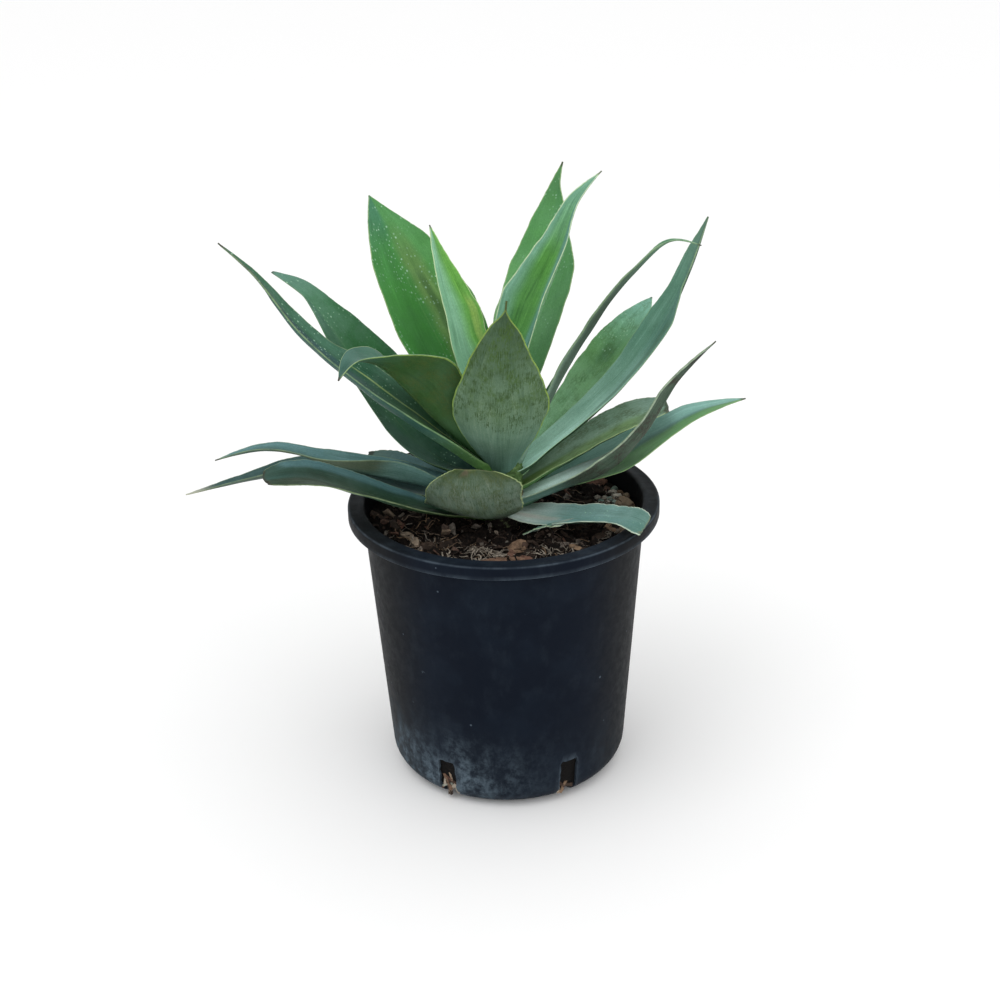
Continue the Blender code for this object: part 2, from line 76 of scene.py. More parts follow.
def softLight(name, place, size, power):
    lamp = bpy.data.objects.new(name, bpy.data.lights.new(name, "AREA"))
    scene.collection.objects.link(lamp)
    lamp.data.size = size
    lamp.data.energy = power
    lamp.location = place
    towards = Vector(studio["lightsAim"]) - Vector(place)
    lamp.rotation_euler = towards.to_track_quat("-Z", "Y").to_euler()


def makeStudio():
    makeCamera()
    world = bpy.data.worlds.new("studio")
    scene.world = world
    world.use_nodes = True
    world.node_tree.nodes["Background"].inputs["Color"].default_value = (1, 1, 1, 1)
    world.node_tree.nodes["Background"].inputs["Strength"].default_value = studio["skyLight"]
    softLight("keyLight", studio["keyPlace"], studio["keySize"], studio["keyPower"])
    softLight("fillLight", studio["fillPlace"], studio["fillSize"], studio["fillPower"])
    mesh = bpy.data.meshes.new("floor")
    mesh.from_pydata(studio["floorCorners"], [], [(0, 1, 2, 3)])
    floor = newPiece("floor", mesh)
    paper, _, shader = newMaterial("paper floor")
    shader.inputs["Base Color"].default_value = (studio["paper"], studio["paper"], studio["paper"], 1)
    shader.inputs["Roughness"].default_value = 0.95
    mesh.materials.append(paper)
    scene.view_settings.view_transform = "Standard"


# Small helpers for node trees. Most find the tree through a socket that they are given.
def tone(*levels):
    # a screen colour from 0 to 255, as the linear colour that shaders take
    shares = [level / 255 for level in levels]
    return (*[c / 12.92 if c < 0.0392 else ((c + 0.055) / 1.055) ** 2.4 for c in shares], 1)


def plain(value):
    # a skin's value as its socket takes it
    return tone(*value) if isinstance(value, tuple) else value


def feed(socket, value):
    if isinstance(value, bpy.types.NodeSocket):
        socket.id_data.links.new(value, socket)
    else:
        socket.default_value = value


def add(tree, kind, inputs=None, **settings):
    made = tree.nodes.new(kind)
    for name, value in settings.items():
        setattr(made, name, value)
    for name, value in (inputs or {}).items():
        feed(made.inputs[name], value)
    return made


def wired(kind, inputs, **settings):
    tree = next(value.id_data for value in inputs.values() if isinstance(value, bpy.types.NodeSocket))
    return add(tree, kind, inputs, **settings)


def calc(operation, *values):
    total = values[0]
    for value in values[1:]:
        total = wired("ShaderNodeMath", {0: total, 1: value}, operation=operation).outputs[0]
    return total


def times(*values):
    return calc("MULTIPLY", *values)


def plus(*values):
    return calc("ADD", *values)


def minus(first, second):
    return calc("SUBTRACT", first, second)


def away(value, centre=0.0):
    # how far a value is from the centre, on either side
    return calc("ABSOLUTE", minus(value, centre), 0.0)


def step(value, low, high, least=0.0, most=1.0):
    ends = {"Value": value, "From Min": low, "From Max": high, "To Min": least, "To Max": most}
    return wired("ShaderNodeMapRange", ends, interpolation_type="SMOOTHSTEP").outputs[0]


def blend(share, first, second, how="MIX"):
    made = wired("ShaderNodeMix", {0: share, 6: first, 7: second}, data_type="RGBA", blend_type=how)
    return made.outputs[2]


def tint(share, colour, *factors):
    return blend(share, colour, blend(1.0, colour, (*factors, 1), "MULTIPLY"))


def scaled(vector, factors):
    return wired("ShaderNodeVectorMath", {0: vector, 1: factors}, operation="MULTIPLY").outputs[0]


def xyz(x, y, z):
    return wired("ShaderNodeCombineXYZ", {0: x, 1: y, 2: z}).outputs[0]


def split(value):
    return wired("ShaderNodeSeparateXYZ", {0: value}).outputs


def noise(vector, scale, detail=3.0, rough=0.55):
    inputs = {"Vector": vector, "Scale": scale, "Detail": detail, "Roughness": rough}
    return wired("ShaderNodeTexNoise", inputs).outputs["Fac"]


def objectPlace(tree):
    return add(tree, "ShaderNodeTexCoord").outputs["Object"]


def attribute(tree, name, output="Vector"):
    return add(tree, "ShaderNodeAttribute", attribute_name=name).outputs[output]


def newGroup(name, inputs, outputs, treeKind="ShaderNodeTree"):
    # an input is given as its kind, or as its own value, whose length tells the kind
    tree = bpy.data.node_groups.new(name, treeKind)
    for label, value in inputs.items():
        kind = value if isinstance(value, str) else {4: "Color", 3: "Vector", 1: "Float"}[np.size(value)]
        socket = tree.interface.new_socket(label, in_out="INPUT", socket_type="NodeSocket" + kind)
        if value is not kind:
            socket.default_value = value
    for label, kind in outputs.items():
        tree.interface.new_socket(label, in_out="OUTPUT", socket_type="NodeSocket" + kind)
    return tree, tree.nodes.new("NodeGroupInput").outputs, tree.nodes.new("NodeGroupOutput").inputs


def newMaterial(name):
    made = bpy.data.materials.new(name)
    made.use_nodes = True
    return made, made.node_tree, made.node_tree.nodes["Principled BSDF"]


def dress(shader, colour, rough, height, bump, distance=0.0008, gloss=0.2):
    feed(shader.inputs["Base Color"], colour)
    feed(shader.inputs["Roughness"], rough)
    relief = wired("ShaderNodeBump", {"Strength": bump, "Distance": distance, "Height": height})
    feed(shader.inputs["Normal"], relief.outputs[0])
    shader.inputs["Specular IOR Level"].default_value = gloss


# helpers for meshes and pieces
def newPiece(name, mesh):
    made = bpy.data.objects.new(name, mesh)
    scene.collection.objects.link(made)
    return made


def finish(piece, slot, *nodes):
    if nodes:
        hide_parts(*nodes)
    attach(piece, "root")


def smooth(mesh, sharpFrom=40):
    mesh.shade_smooth()
    mesh.set_sharp_from_angle(angle=math.radians(sharpFrom))


def meshFrom(form, name):
    mesh = bpy.data.meshes.new(name)
    form.to_mesh(mesh)
    form.free()
    return mesh


def builtMesh(name, points, faces, **attributes):
    # points in millimetres, and for each attribute a number or a vector a point
    mesh = bpy.data.meshes.new(name)
    mesh.from_pydata((np.array(points) * mm).tolist(), [], faces)
    for label, values in attributes.items():
        values = np.array(values, np.float32)
        kind, field = ("FLOAT", "value") if values.ndim == 1 else ("FLOAT_VECTOR", "vector")
        mesh.attributes.new(label, kind, "POINT").data.foreach_set(field, values.ravel())
    mesh.shade_smooth()
    form = bmesh.new()
    form.from_mesh(mesh)
    bmesh.ops.recalc_face_normals(form, faces=form.faces)
    form.to_mesh(mesh)
    form.free()
    return mesh


def tubeFaces(rings, around, first=0):
    # the faces of a tube of rings, numbered ring by ring from first, with a cap at each end
    corners = [[first + i * around + j for j in range(around)] for i in range(rings)]
    faces = []
    for low, high in zip(corners, corners[1:]):
        faces += [(low[j], low[j + 1 - around], high[j + 1 - around], high[j]) for j in range(around)]
    return faces + [corners[0][::-1], corners[-1]]


def applied(piece):
    graph = bpy.context.evaluated_depsgraph_get()
    mesh = bpy.data.meshes.new_from_object(piece.evaluated_get(graph))
    piece.modifiers.clear()
    piece.data = mesh
    return mesh


def arc(centre, radius, start, end, steps):
    angles = [math.radians(start + (end - start) * i / steps) for i in range(steps + 1)]
    return [(centre[0] + radius * math.cos(a), centre[1] + radius * math.sin(a)) for a in angles]


def turned(name, profile, turns):
    mesh = bpy.data.meshes.new(name)
    points = [(r * mm, 0, z * mm) for r, z in profile]
    mesh.from_pydata(points, [(i, i + 1) for i in range(len(points) - 1)], [])
    made = newPiece(name, mesh)
    screw = made.modifiers.new("turn", "SCREW")
    screw.steps = screw.render_steps = turns
    screw.use_merge_vertices = True
    screw.merge_threshold = 0.00001
    applied(made)
    return made


# The leaves' skin. Every blade carries two attributes. blade is (across from -1 at the right margin to 1 at
# the left, along from 0 at the stem to 1 at the tip, 1 underneath). bladeMm is (from the midrib, along, from
# the margin) in mm. Widths, places and shares are in the same terms as the blade.
skinInputs = dict(
    root=(110, 150, 80), body=(70, 115, 75), tip=(60, 95, 80), rootReach=0.25, tipFrom=0.7,
    left=(70, 115, 75), leftShare=0.0, right=(70, 115, 75), rightShare=0.0,
    centre=(90, 140, 70), centreShare=0.0, centreAt=0.0, centreWidth=0.3,
    band=(62, 80, 55), bandShare=0.0, bandAt=0.0, bandWidth=0.12, bandFrom=0.3, bandTo=0.7,
    midrib=(140, 168, 110), midribShare=0.12, midribAt=0.0, midribWidth=0.6,
    margin=(176, 196, 146), marginShare=0.6, marginWidth=0.55,
    streaks=0.3, flecks=0.0, fleckSize=0.27, dashes=0.0, dashFrom=0.3, dashTo=0.8,
    blotch=(70, 75, 45), blotches=0.0, blotchFrom=0.2, bloom=0.15,
    end=(58, 50, 40), endShare=0.8, endFrom=0.97)
skinTones = dict(wax=tone(140, 172, 164), dash=tone(52, 74, 38), fleck=tone(164, 206, 176))


def leafFaceGroup():
    inputs = {label: plain(value) for label, value in skinInputs.items()}
    tree, given, out = newGroup("leafFace", inputs, dict(colour="Color", rough="Float", height="Float"))
    place = objectPlace(tree)
    bladeMm = attribute(tree, "bladeMm")
    across, along, _ = split(attribute(tree, "blade"))
    fromRib, alongMm, fromMargin = split(bladeMm)

    def near(value, centre, width):
        return step(away(value, centre), width, times(width, 0.3))

    # the ground colour, from root to tip and from side to side
    wander = minus(noise(place, 22.0, 2.0), 0.5)
    alongWander = plus(along, times(wander, 0.22))
    acrossWander = plus(across, times(wander, 0.3))
    colour = blend(step(alongWander, 0.0, given["rootReach"]), given["root"], given["body"])
    colour = blend(step(alongWander, given["tipFrom"], 1.0), colour, given["tip"])
    for side, edge, full in (("left", -0.05, 0.3), ("right", 0.05, -0.3)):
        colour = blend(times(step(acrossWander, edge, full), given[side + "Share"]), colour, given[side])
    inCentre = times(near(acrossWander, given["centreAt"], given["centreWidth"]),
                     step(alongWander, 0.95, 0.6), given["centreShare"])
    colour = blend(inCentre, colour, given["centre"])

    # fine veins that run together towards the tip, and broader bands
    veins = xyz(times(across, 15.0), times(alongMm, 0.03), 0.0)
    fine = noise(veins, 1.3, 4.0, 0.7)
    broad = noise(scaled(veins, (0.25, 0.4, 0.0)), 1.0, 3.0)
    lines = plus(times(fine, 0.5), times(broad, 0.5))
    colour = tint(times(step(lines, 0.5, 0.34), given["streaks"]), colour, 0.45, 0.54, 0.5)
    colour = tint(times(step(lines, 0.5, 0.68), given["streaks"]), colour, 1.7, 1.5, 1.65)

    # a single long streak, soft at its ends
    bandEnds = times(step(alongWander, minus(given["bandFrom"], 0.08), given["bandFrom"]),
                     step(alongWander, plus(given["bandTo"], 0.08), given["bandTo"]))
    inBand = near(plus(across, times(wander, 0.12)), given["bandAt"], given["bandWidth"])
    streak = times(inBand, bandEnds, step(fine, 0.3, 0.55, 0.6, 1.0), given["bandShare"])
    colour = blend(streak, colour, given["band"])

    # soft mottling, a fine grain and the waxy bloom
    mottle = noise(place, 70.0, 4.0, 0.6)
    grain = noise(scaled(bladeMm, (1.6, 0.7, 0.0)), 1.0, 4.0, 0.7)
    colour = tint(step(mottle, 0.62, 0.35, 0.0, 0.4), colour, 0.66, 0.74, 0.68)
    colour = tint(step(grain, 0.5, 0.28, 0.0, 0.8), colour, 0.68, 0.74, 0.7)
    colour = tint(step(grain, 0.5, 0.72, 0.0, 0.8), colour, 1.35, 1.28, 1.35)
    wax = times(step(noise(place, 40.0, 5.0, 0.65), 0.35, 0.7), given["bloom"])
    colour = blend(wax, colour, skinTones["wax"])

    # weathered blotches, torn into short lines
    patch = noise(scaled(bladeMm, (0.11, 0.07, 0.0)), 1.0, 3.0, 0.6)
    crack = noise(scaled(bladeMm, (1.1, 0.32, 0.0)), 1.0, 5.0, 0.75)
    worn = times(step(patch, 0.42, 0.6), step(crack, 0.4, 0.56),
                 step(along, given["blotchFrom"], plus(given["blotchFrom"], 0.25)), given["blotches"])
    colour = blend(worn, colour, given["blotch"])

    # fine dark dashes where the back of a blade has chafed
    crowd = noise(scaled(bladeMm, (0.09, 0.11, 0.0)), 1.0, 3.0, 0.6)
    lengthwise = noise(scaled(bladeMm, (1.7, 0.14, 0.0)), 1.0, 4.0, 0.8)
    dash = step(lengthwise, step(crowd, 0.35, 0.62, 0.62, 0.46), step(crowd, 0.35, 0.62, 0.7, 0.56))
    dashEnds = times(step(along, given["dashFrom"], plus(given["dashFrom"], 0.12)),
                     step(along, given["dashTo"], minus(given["dashTo"], 0.12)))
    colour = blend(times(dash, dashEnds, given["dashes"]), colour, skinTones["dash"])

    # white flecks of hard water, in loose groups
    spots = wired("ShaderNodeTexVoronoi", {"Vector": scaled(bladeMm, (0.42, 0.34, 0.0)), "Scale": 1.0},
                  voronoi_dimensions="2D")
    pick = wired("ShaderNodeSeparateColor", {0: spots.outputs["Color"]}).outputs
    reach = times(given["fleckSize"], step(pick[1], 0.0, 1.0, 0.55, 1.2))
    fleck = times(step(spots.outputs["Distance"], reach, times(reach, 0.4)), step(pick[0], 0.6, 0.64),
                  step(noise(place, 34.0, 2.0), 0.45, 0.6), given["flecks"],
                  step(pick[2], 0.0, 1.0, 0.35, 1.0))
    colour = blend(fleck, colour, skinTones["fleck"])

    # the midrib, the margins, and the dry end
    ribAway = times(away(across, given["midribAt"]), plus(away(fromRib), fromMargin))
    rib = times(step(ribAway, given["midribWidth"], times(given["midribWidth"], 0.3)), given["midribShare"])
    colour = blend(times(rib, step(along, 0.85, 0.6)), colour, given["midrib"])
    uneven = step(noise(scaled(bladeMm, (0.0, 0.12, 0.0)), 1.0, 4.0, 0.7), 0.3, 0.6, 0.35, 1.0)
    rim = times(step(fromMargin, given["marginWidth"], times(given["marginWidth"], 0.5)),
                given["marginShare"], uneven)
    colour = blend(rim, colour, given["margin"])
    end = step(plus(along, times(wander, 0.02)), given["endFrom"], plus(given["endFrom"], 0.022))
    feed(out["colour"], blend(times(end, given["endShare"]), colour, given["end"]))
    feed(out["rough"], plus(step(mottle, 0.3, 0.7, 0.4, 0.58), times(worn, 0.2)))
    feed(out["height"], minus(plus(times(lines, 0.8), times(mottle, 0.35)), times(worn, 0.3)))
    return tree


def leafMaterial(name, upper, under):
    made, tree, shader = newMaterial(name)
    faces = []
    for values in (upper, under):
        group = add(tree, "ShaderNodeGroup", node_tree=leafFace)
        for key, value in values.items():
            group.inputs[key].default_value = plain(value)
        faces.append(group.outputs)
    below = step(split(attribute(tree, "blade"))[2], 0.45, 0.55)
    colour = blend(below, faces[0]["colour"], faces[1]["colour"])
    rough, height = (wired("ShaderNodeMix", {0: below, 2: faces[0][key], 3: faces[1][key]}).outputs[0]
                     for key in ("rough", "height"))
    dress(shader, colour, rough, height, 0.5, gloss=0.08)
    return made


# The leaves, in mm and degrees. route: (radius, azimuth, height) points along the midrib. widest: where
# along it the blade is widest. root: its width at the stem. taper: how full it stays towards the tip. fold:
# how far its halves are raised. roll: its turn about the midrib. cut: where its end is cut off. swells: (1
# for left or -1 for right, place along, outwards, reach). channel: the shape of the hollow. ripple: how much
# it undulates. ragged, nibbled: how uneven its end and its margins are. clasp: how far its foot hugs the
# stem. upper is the hollow face and under the back. What isn't named keeps its value in skinInputs.
leafDefaults = dict(roll=(0,), thick=4.4, cut=1.0, swells=(), channel=1.4, ripple=0.35, ragged=0.0,
                    nibbled=0.1, clasp=10.0)
# On several leaves deep in the rosette the root colour, and on two of them a side's colour, is painted
# lighter than the leaf's own: agave leaves are paler at the root, and this is painted light against the
# shade there.
leaves = {
    "left_long": dict(
        route=[(13.5, 188, 210), (40, 188, 232), (84, 188, 270), (122, 188, 308), (150, 188, 348),
               (166, 188, 365)],
        width=42, widest=0.42, root=22, taper=1.15, fold=(20, 18, 8), roll=(0, -10, -6), channel=2.6,
        swells=((-1, 0.57, -5, 0.13), (1, 0.15, 5, 0.08), (1, 0.84, -6, 0.16)),
        upper=dict(root=(112, 178, 84), body=(54, 92, 88), tip=(34, 50, 56), rootReach=0.5, tipFrom=0.4,
                   right=(66, 114, 82), rightShare=0.75, flecks=1.0, midribShare=0.0, streaks=0.7,
                   marginShare=0.35, bloom=0.2, band=(184, 212, 136), bandShare=0.95, bandAt=-0.42,
                   bandWidth=0.06, bandFrom=0.1, bandTo=0.42),
        under=dict(root=(126, 178, 96), body=(54, 92, 80), tip=(44, 58, 56), rootReach=0.22, streaks=0.45,
                   bloom=0.1, marginShare=0.7, flecks=0.8, margin=(150, 186, 130))),
    "left_broad": dict(
        route=[(13.5, 155, 197.5), (46, 155, 205.5), (69, 155, 221), (104, 155, 265), (138, 155, 304),
               (162, 155, 318)],
        width=62, widest=0.5, root=20, taper=1.35, fold=(20, 20, 10),
        swells=((1, 0.24, 8, 0.12), (1, 0.47, -3, 0.08), (1, 0.86, -10, 0.13), (-1, 0.92, 4, 0.08)),
        upper=dict(root=(38, 68, 64), body=(68, 122, 78), tip=(92, 134, 116), rootReach=0.5, flecks=0.9,
                   left=(56, 96, 84), leftShare=0.45, bloom=0.2, marginShare=0.15, endFrom=0.985),
        under=dict(body=(62, 96, 66), tip=(80, 114, 84))),
    "left_folded": dict(
        route=[(11.4, 205, 217), (40, 205, 246), (64, 206, 275), (84, 207, 294), (99, 208, 298),
               (110, 209, 288)],
        width=60, widest=0.5, root=18, taper=1.6, fold=(25, 36, 10), roll=(0, 26, 0),
        swells=((1, 0.63, 5, 0.13),),
        upper=dict(root=(60, 104, 70), body=(74, 116, 98), tip=(48, 84, 74), endShare=0.9),
        under=dict(root=(70, 108, 72), body=(53, 84, 43), tip=(56, 94, 82), rootReach=0.4, tipFrom=0.68,
                   margin=(138, 168, 84), marginShare=0.9, blotches=0.35, blotch=(78, 84, 40),
                   streaks=0.45, bloom=0.05)),
    "back_left_broad": dict(
        route=[(10.6, 132, 220), (30, 132, 238), (55, 132, 272), (90, 132, 314), (124, 132, 361)],
        width=72, widest=0.5, root=18, taper=1.7, fold=(25, 20, 10),
        swells=((-1, 0.8, 5, 0.12), (1, 0.4, 5, 0.12)),
        upper=dict(root=(88, 142, 84), body=(68, 136, 62), tip=(74, 130, 96), rootReach=0.4, tipFrom=0.62,
                   right=(88, 148, 80), rightShare=0.7, flecks=0.9, fleckSize=0.3, streaks=0.4,
                   bloom=0.05, centre=(134, 148, 92), centreShare=0.4, centreAt=-0.36, centreWidth=0.3,
                   band=(62, 94, 56), bandShare=0.6, bandAt=-0.34, bandWidth=0.1, bandFrom=0.43,
                   bandTo=0.6, endFrom=0.99),
        under=dict(body=(66, 114, 64), tip=(72, 118, 82))),
    "back_left_young": dict(
        route=[(8, 135, 231), (20, 135, 256), (38, 131, 289), (56, 128, 319), (75, 125, 349)],
        width=42, widest=0.4, root=13, taper=1.2, fold=(22, 32, 20),
        swells=((1, 0.4, 4, 0.1), (-1, 0.43, -4, 0.08)),
        # painted light: the root and left colours are lighter than the leaf's own, against the shade in the
        # rosette
        upper=dict(root=(176, 228, 176), body=(110, 168, 92), tip=(128, 174, 142), left=(146, 198, 160),
                   leftShare=1.0, right=(104, 164, 74), rightShare=1.0, streaks=0.85,
                   margin=(205, 222, 172), marginShare=0.8, band=(160, 190, 98), bandShare=0.7,
                   bandAt=-0.75, bandWidth=0.2, bandFrom=0.1, bandTo=0.6, bloom=0.08, endShare=0.9,
                   endFrom=0.975, centre=(142, 194, 160), centreAt=0.35, centreWidth=0.95,
                   centreShare=1.0),
        under=dict(body=(98, 150, 104), tip=(96, 146, 104))),
    "back_broad": dict(
        route=[(9.5, 71, 225), (41, 71, 262), (65, 71, 290), (90, 71, 313), (120, 72, 343),
               (145, 72, 369)],
        width=50, widest=0.48, root=15, taper=1.2, fold=(25, 22, 10),
        swells=((-1, 0.9, -3, 0.08), (-1, 0.57, 4, 0.1), (1, 0.48, -3, 0.08)),
        # painted light: the root colour is lighter than the leaf's own, against the shade in the rosette
        upper=dict(root=(158, 210, 156), body=(84, 144, 80), tip=(74, 126, 74), rootReach=0.7,
                   right=(74, 128, 78), rightShare=0.6, flecks=0.6, streaks=0.2, bloom=0.08),
        under=dict(body=(74, 124, 74), tip=(74, 120, 78))),
    "back_young": dict(
        route=[(7, 42, 236), (10, 42, 266), (30, 42, 304), (52, 43, 337), (73, 44, 369), (89, 42, 382)],
        width=46, widest=0.45, root=12, taper=1.1, fold=(20, 42, 20), swells=((-1, 0.8, -5, 0.12),),
        upper=dict(root=(84, 150, 60), body=(100, 156, 112), tip=(112, 160, 128), rootReach=0.3,
                   tipFrom=0.6, left=(116, 164, 138), leftShare=0.85, right=(104, 150, 136),
                   rightShare=0.9, centre=(84, 144, 62), centreShare=0.95, centreWidth=0.62,
                   centreAt=0.32, margin=(196, 216, 176), marginShare=0.95, marginWidth=0.8, streaks=0.9,
                   bloom=0.06),
        under=dict(body=(92, 148, 92), tip=(96, 146, 104))),
    "front_upright": dict(
        route=[(12.7, 262, 213.6), (29, 267, 235), (43, 270, 266), (50, 271, 300), (50, 275, 334)],
        width=63, widest=0.4, root=20, taper=1.4, fold=(15, 18, 10),
        swells=((1, 0.3, -3, 0.12), (1, 0.94, -3, 0.06), (-1, 0.94, -3, 0.06)),
        upper=dict(root=(80, 124, 68), body=(78, 122, 80), tip=(78, 110, 80)),
        under=dict(root=(100, 136, 122), body=(98, 124, 96), tip=(52, 74, 44), rootReach=0.45,
                   tipFrom=0.4, blotches=0.7, blotch=(66, 92, 38), blotchFrom=0.28, dashes=0.85,
                   dashFrom=0.24, dashTo=0.96, streaks=0.7, bloom=0.1, margin=(138, 166, 78),
                   marginShare=0.85, marginWidth=0.7, midribShare=0.0, end=(58, 60, 42), endFrom=0.94)),
    "front_stub": dict(
        route=[(13.7, 260, 181.4), (26, 256.5, 186), (42, 253, 194), (50, 251.5, 209), (53, 250.5, 228)],
        width=70, widest=0.52, root=16, taper=3.5, fold=(2, 12, 5), roll=(8, 0), cut=0.94,
        swells=((1, 0.6, -9, 0.22), (1, 0.34, -4, 0.16), (-1, 0.36, 8, 0.2), (-1, 0.9, -3, 0.12)),
        ragged=1.8, nibbled=0.3, clasp=2.0,
        upper=dict(root=(74, 100, 58), body=(74, 96, 62), tip=(70, 88, 50)),
        under=dict(root=(108, 128, 116), body=(106, 124, 106), tip=(60, 74, 38), tipFrom=0.72,
                   blotches=0.5, blotch=(78, 88, 42), blotchFrom=0.1, dashes=0.55, dashFrom=0.1,
                   dashTo=1.1, streaks=0.8, bloom=0.12, margin=(168, 186, 130), marginShare=0.8,
                   end=(120, 130, 90), endShare=0.5, endFrom=0.985, midribShare=0.0, band=(96, 78, 62),
                   bandShare=0.9, bandAt=-0.35, bandWidth=0.2, bandFrom=0.96, bandTo=1.2)),
    "front_right_torn": dict(
        route=[(15, 310, 179.8), (45, 321, 183.2), (78, 325, 189), (94, 326, 191), (103, 327, 188)],
        width=30, widest=0.6, root=16.5, taper=7, fold=(10, 15, 10), roll=(26, 5, 0), thick=3.4, cut=0.93,
        swells=((-1, 0.68, -10, 0.18),), ragged=3.0, nibbled=0.3,
        upper=dict(root=(200, 212, 206), body=(108, 148, 144), tip=(82, 122, 112), rootReach=0.42,
                   streaks=0.7, margin=(206, 220, 200), marginShare=0.85, bloom=0.2, end=(130, 122, 84),
                   endShare=0.7, endFrom=0.985, marginWidth=0.8, flecks=0.9, fleckSize=0.2,
                   left=(112, 142, 134), leftShare=0.4, band=(176, 168, 160), bandShare=0.6, bandAt=-0.2,
                   bandWidth=0.3, bandFrom=0.0, bandTo=0.3),
        under=dict(root=(150, 166, 158), body=(84, 116, 106), tip=(78, 112, 100), endShare=0.0)),
    "left_low_long": dict(
        route=[(13.5, 176, 184), (60, 175, 190), (98, 175, 200), (130, 175, 204), (162, 175, 197),
               (208, 175, 184)],
        width=30, widest=0.4, root=18, taper=1.2, fold=(12, 25, 20),
        upper=dict(root=(70, 100, 84), body=(54, 82, 80), tip=(196, 192, 180), tipFrom=0.86, streaks=0.7,
                   endShare=0.0, marginShare=0.3, midribShare=0.0),
        under=dict(body=(56, 76, 62), tip=(180, 174, 158), tipFrom=0.86, endShare=0.0, marginShare=0.2)),
    "left_low_cut": dict(
        route=[(13.5, 206, 176), (38, 205, 183), (72, 205, 197), (102, 205, 213), (133, 205, 228),
               (158, 205, 231)],
        width=40, widest=0.6, root=14, taper=3, fold=(12, 16, 8), roll=(0, -3, -5), thick=3, cut=0.93,
        ragged=3.2, nibbled=0.3,
        upper=dict(root=(60, 84, 92), body=(44, 70, 60), tip=(44, 76, 68), left=(36, 58, 38),
                   leftShare=1.0, streaks=0.8, bloom=0.08, end=(60, 52, 42), endFrom=0.985,
                   marginShare=0.3, band=(82, 118, 122), bandShare=0.9, bandAt=-0.9, bandWidth=0.4,
                   bandFrom=0.1, bandTo=0.9, centre=(36, 60, 42), centreShare=1.0, centreAt=-0.05,
                   centreWidth=0.5, right=(40, 66, 54), rightShare=0.8),
        under=dict(root=(84, 120, 50), body=(46, 70, 48), tip=(50, 74, 48), rootReach=0.5,
                   end=(60, 50, 42))),
    "left_low_arching": dict(
        route=[(13.5, 182, 191), (53, 181, 199.5), (84, 180, 206), (110, 180, 213), (150, 179, 222),
               (184, 178, 213)],
        width=30, widest=0.35, root=17, taper=1.15, fold=(8, 40, 22, 20), roll=(5, 20, 0, 0),
        swells=((1, 0.65, -6, 0.12),),
        upper=dict(root=(100, 136, 136), body=(76, 108, 106), tip=(72, 98, 88), streaks=0.8, bloom=0.2,
                   marginShare=0.35, midribShare=0.0, right=(96, 136, 138), rightShare=0.7),
        # painted light: the underside's root colour is lighter than the leaf's own, against the shade below
        # the rosette
        under=dict(root=(140, 190, 184), body=(66, 90, 78), tip=(70, 90, 80), rootReach=0.5, streaks=0.8,
                   bloom=0.03, marginShare=0.15, band=(76, 82, 58), bandShare=0.7, bandAt=0.9,
                   bandWidth=0.7, bandFrom=0.4, bandTo=0.75)),
    "back_left_low": dict(
        route=[(13.5, 142, 176), (50, 144, 182), (80, 145, 187), (98, 146, 190), (112, 147, 190)],
        width=27, widest=0.6, root=16, taper=3, fold=(12, 16, 10), cut=0.94, ragged=3.0, nibbled=0.3,
        upper=dict(body=(84, 116, 120), tip=(70, 96, 88), end=(46, 48, 40), endShare=0.8, endFrom=0.95),
        under=dict(body=(64, 90, 76), end=(46, 48, 40), endFrom=0.95)),
    "right_arching": dict(
        route=[(12, 10, 215.3), (31, 10, 252.5), (54.5, 10, 292), (83, 10, 328), (108, 10, 348),
               (129, 12, 342)],
        width=22, widest=0.35, root=13, taper=0.95, fold=(20, 46, 25), roll=(0, -12, -5), thick=3.4,
        swells=((1, 0.45, -9, 0.27), (-1, 0.42, -4, 0.15), (-1, 0.92, -4, 0.06)),
        upper=dict(root=(80, 122, 78), body=(76, 116, 92), tip=(88, 140, 106), bloom=0.1,
                   margin=(170, 200, 160)),
        under=dict(root=(138, 166, 148), body=(76, 98, 82), tip=(84, 128, 100), rootReach=0.6,
                   tipFrom=0.62, streaks=0.7, margin=(160, 184, 140), band=(50, 58, 48), bandShare=0.6,
                   bandAt=-0.5, bandWidth=0.5, bandFrom=0.2, bandTo=0.6, marginShare=0.4, bloom=0.05)),
    "right_long": dict(
        route=[(13.5, 20, 206), (42, 20, 223), (80, 20, 251), (112, 20, 289), (141, 20, 354)],
        width=34, widest=0.66, root=20, taper=0.8, fold=(15, 14, 10),
        swells=((-1, 0.83, -13, 0.13), (-1, 0.3, -5, 0.25), (1, 0.86, 4, 0.1)),
        # painted light: the near-white root colour is lighter than the leaf's own, against the shade in the
        # rosette
        upper=dict(root=(194, 240, 224), body=(84, 126, 112), tip=(80, 104, 94), rootReach=0.6,
                   tipFrom=0.72, left=(104, 150, 120), leftShare=0.35, streaks=0.6, bloom=0.12,
                   margin=(166, 198, 140), marginShare=0.35, marginWidth=0.6, endFrom=0.985,
                   band=(60, 96, 66), bandShare=0.5, bandAt=-0.55, bandWidth=0.35, bandFrom=0.3,
                   bandTo=0.62),
        under=dict(root=(60, 88, 60), body=(56, 84, 66), tip=(84, 108, 94))),
    "right_broad": dict(
        route=[(13.5, 50, 200), (55, 48, 219), (88, 47, 240), (118, 47, 259), (152, 47, 281)],
        width=33, widest=0.65, root=14, taper=2.6, fold=(14, 22, 12),
        # painted light: the root colour, reaching far along, is lighter than the leaf's own, against the
        # shade in the rosette
        upper=dict(root=(168, 220, 176), body=(92, 142, 84), tip=(126, 178, 158), rootReach=0.75,
                   tipFrom=0.62, flecks=0.5, blotches=0.45, blotch=(70, 104, 56), blotchFrom=0.1,
                   bloom=0.12, streaks=0.35, band=(54, 98, 62), bandShare=0.7, bandAt=0.1, bandWidth=0.45,
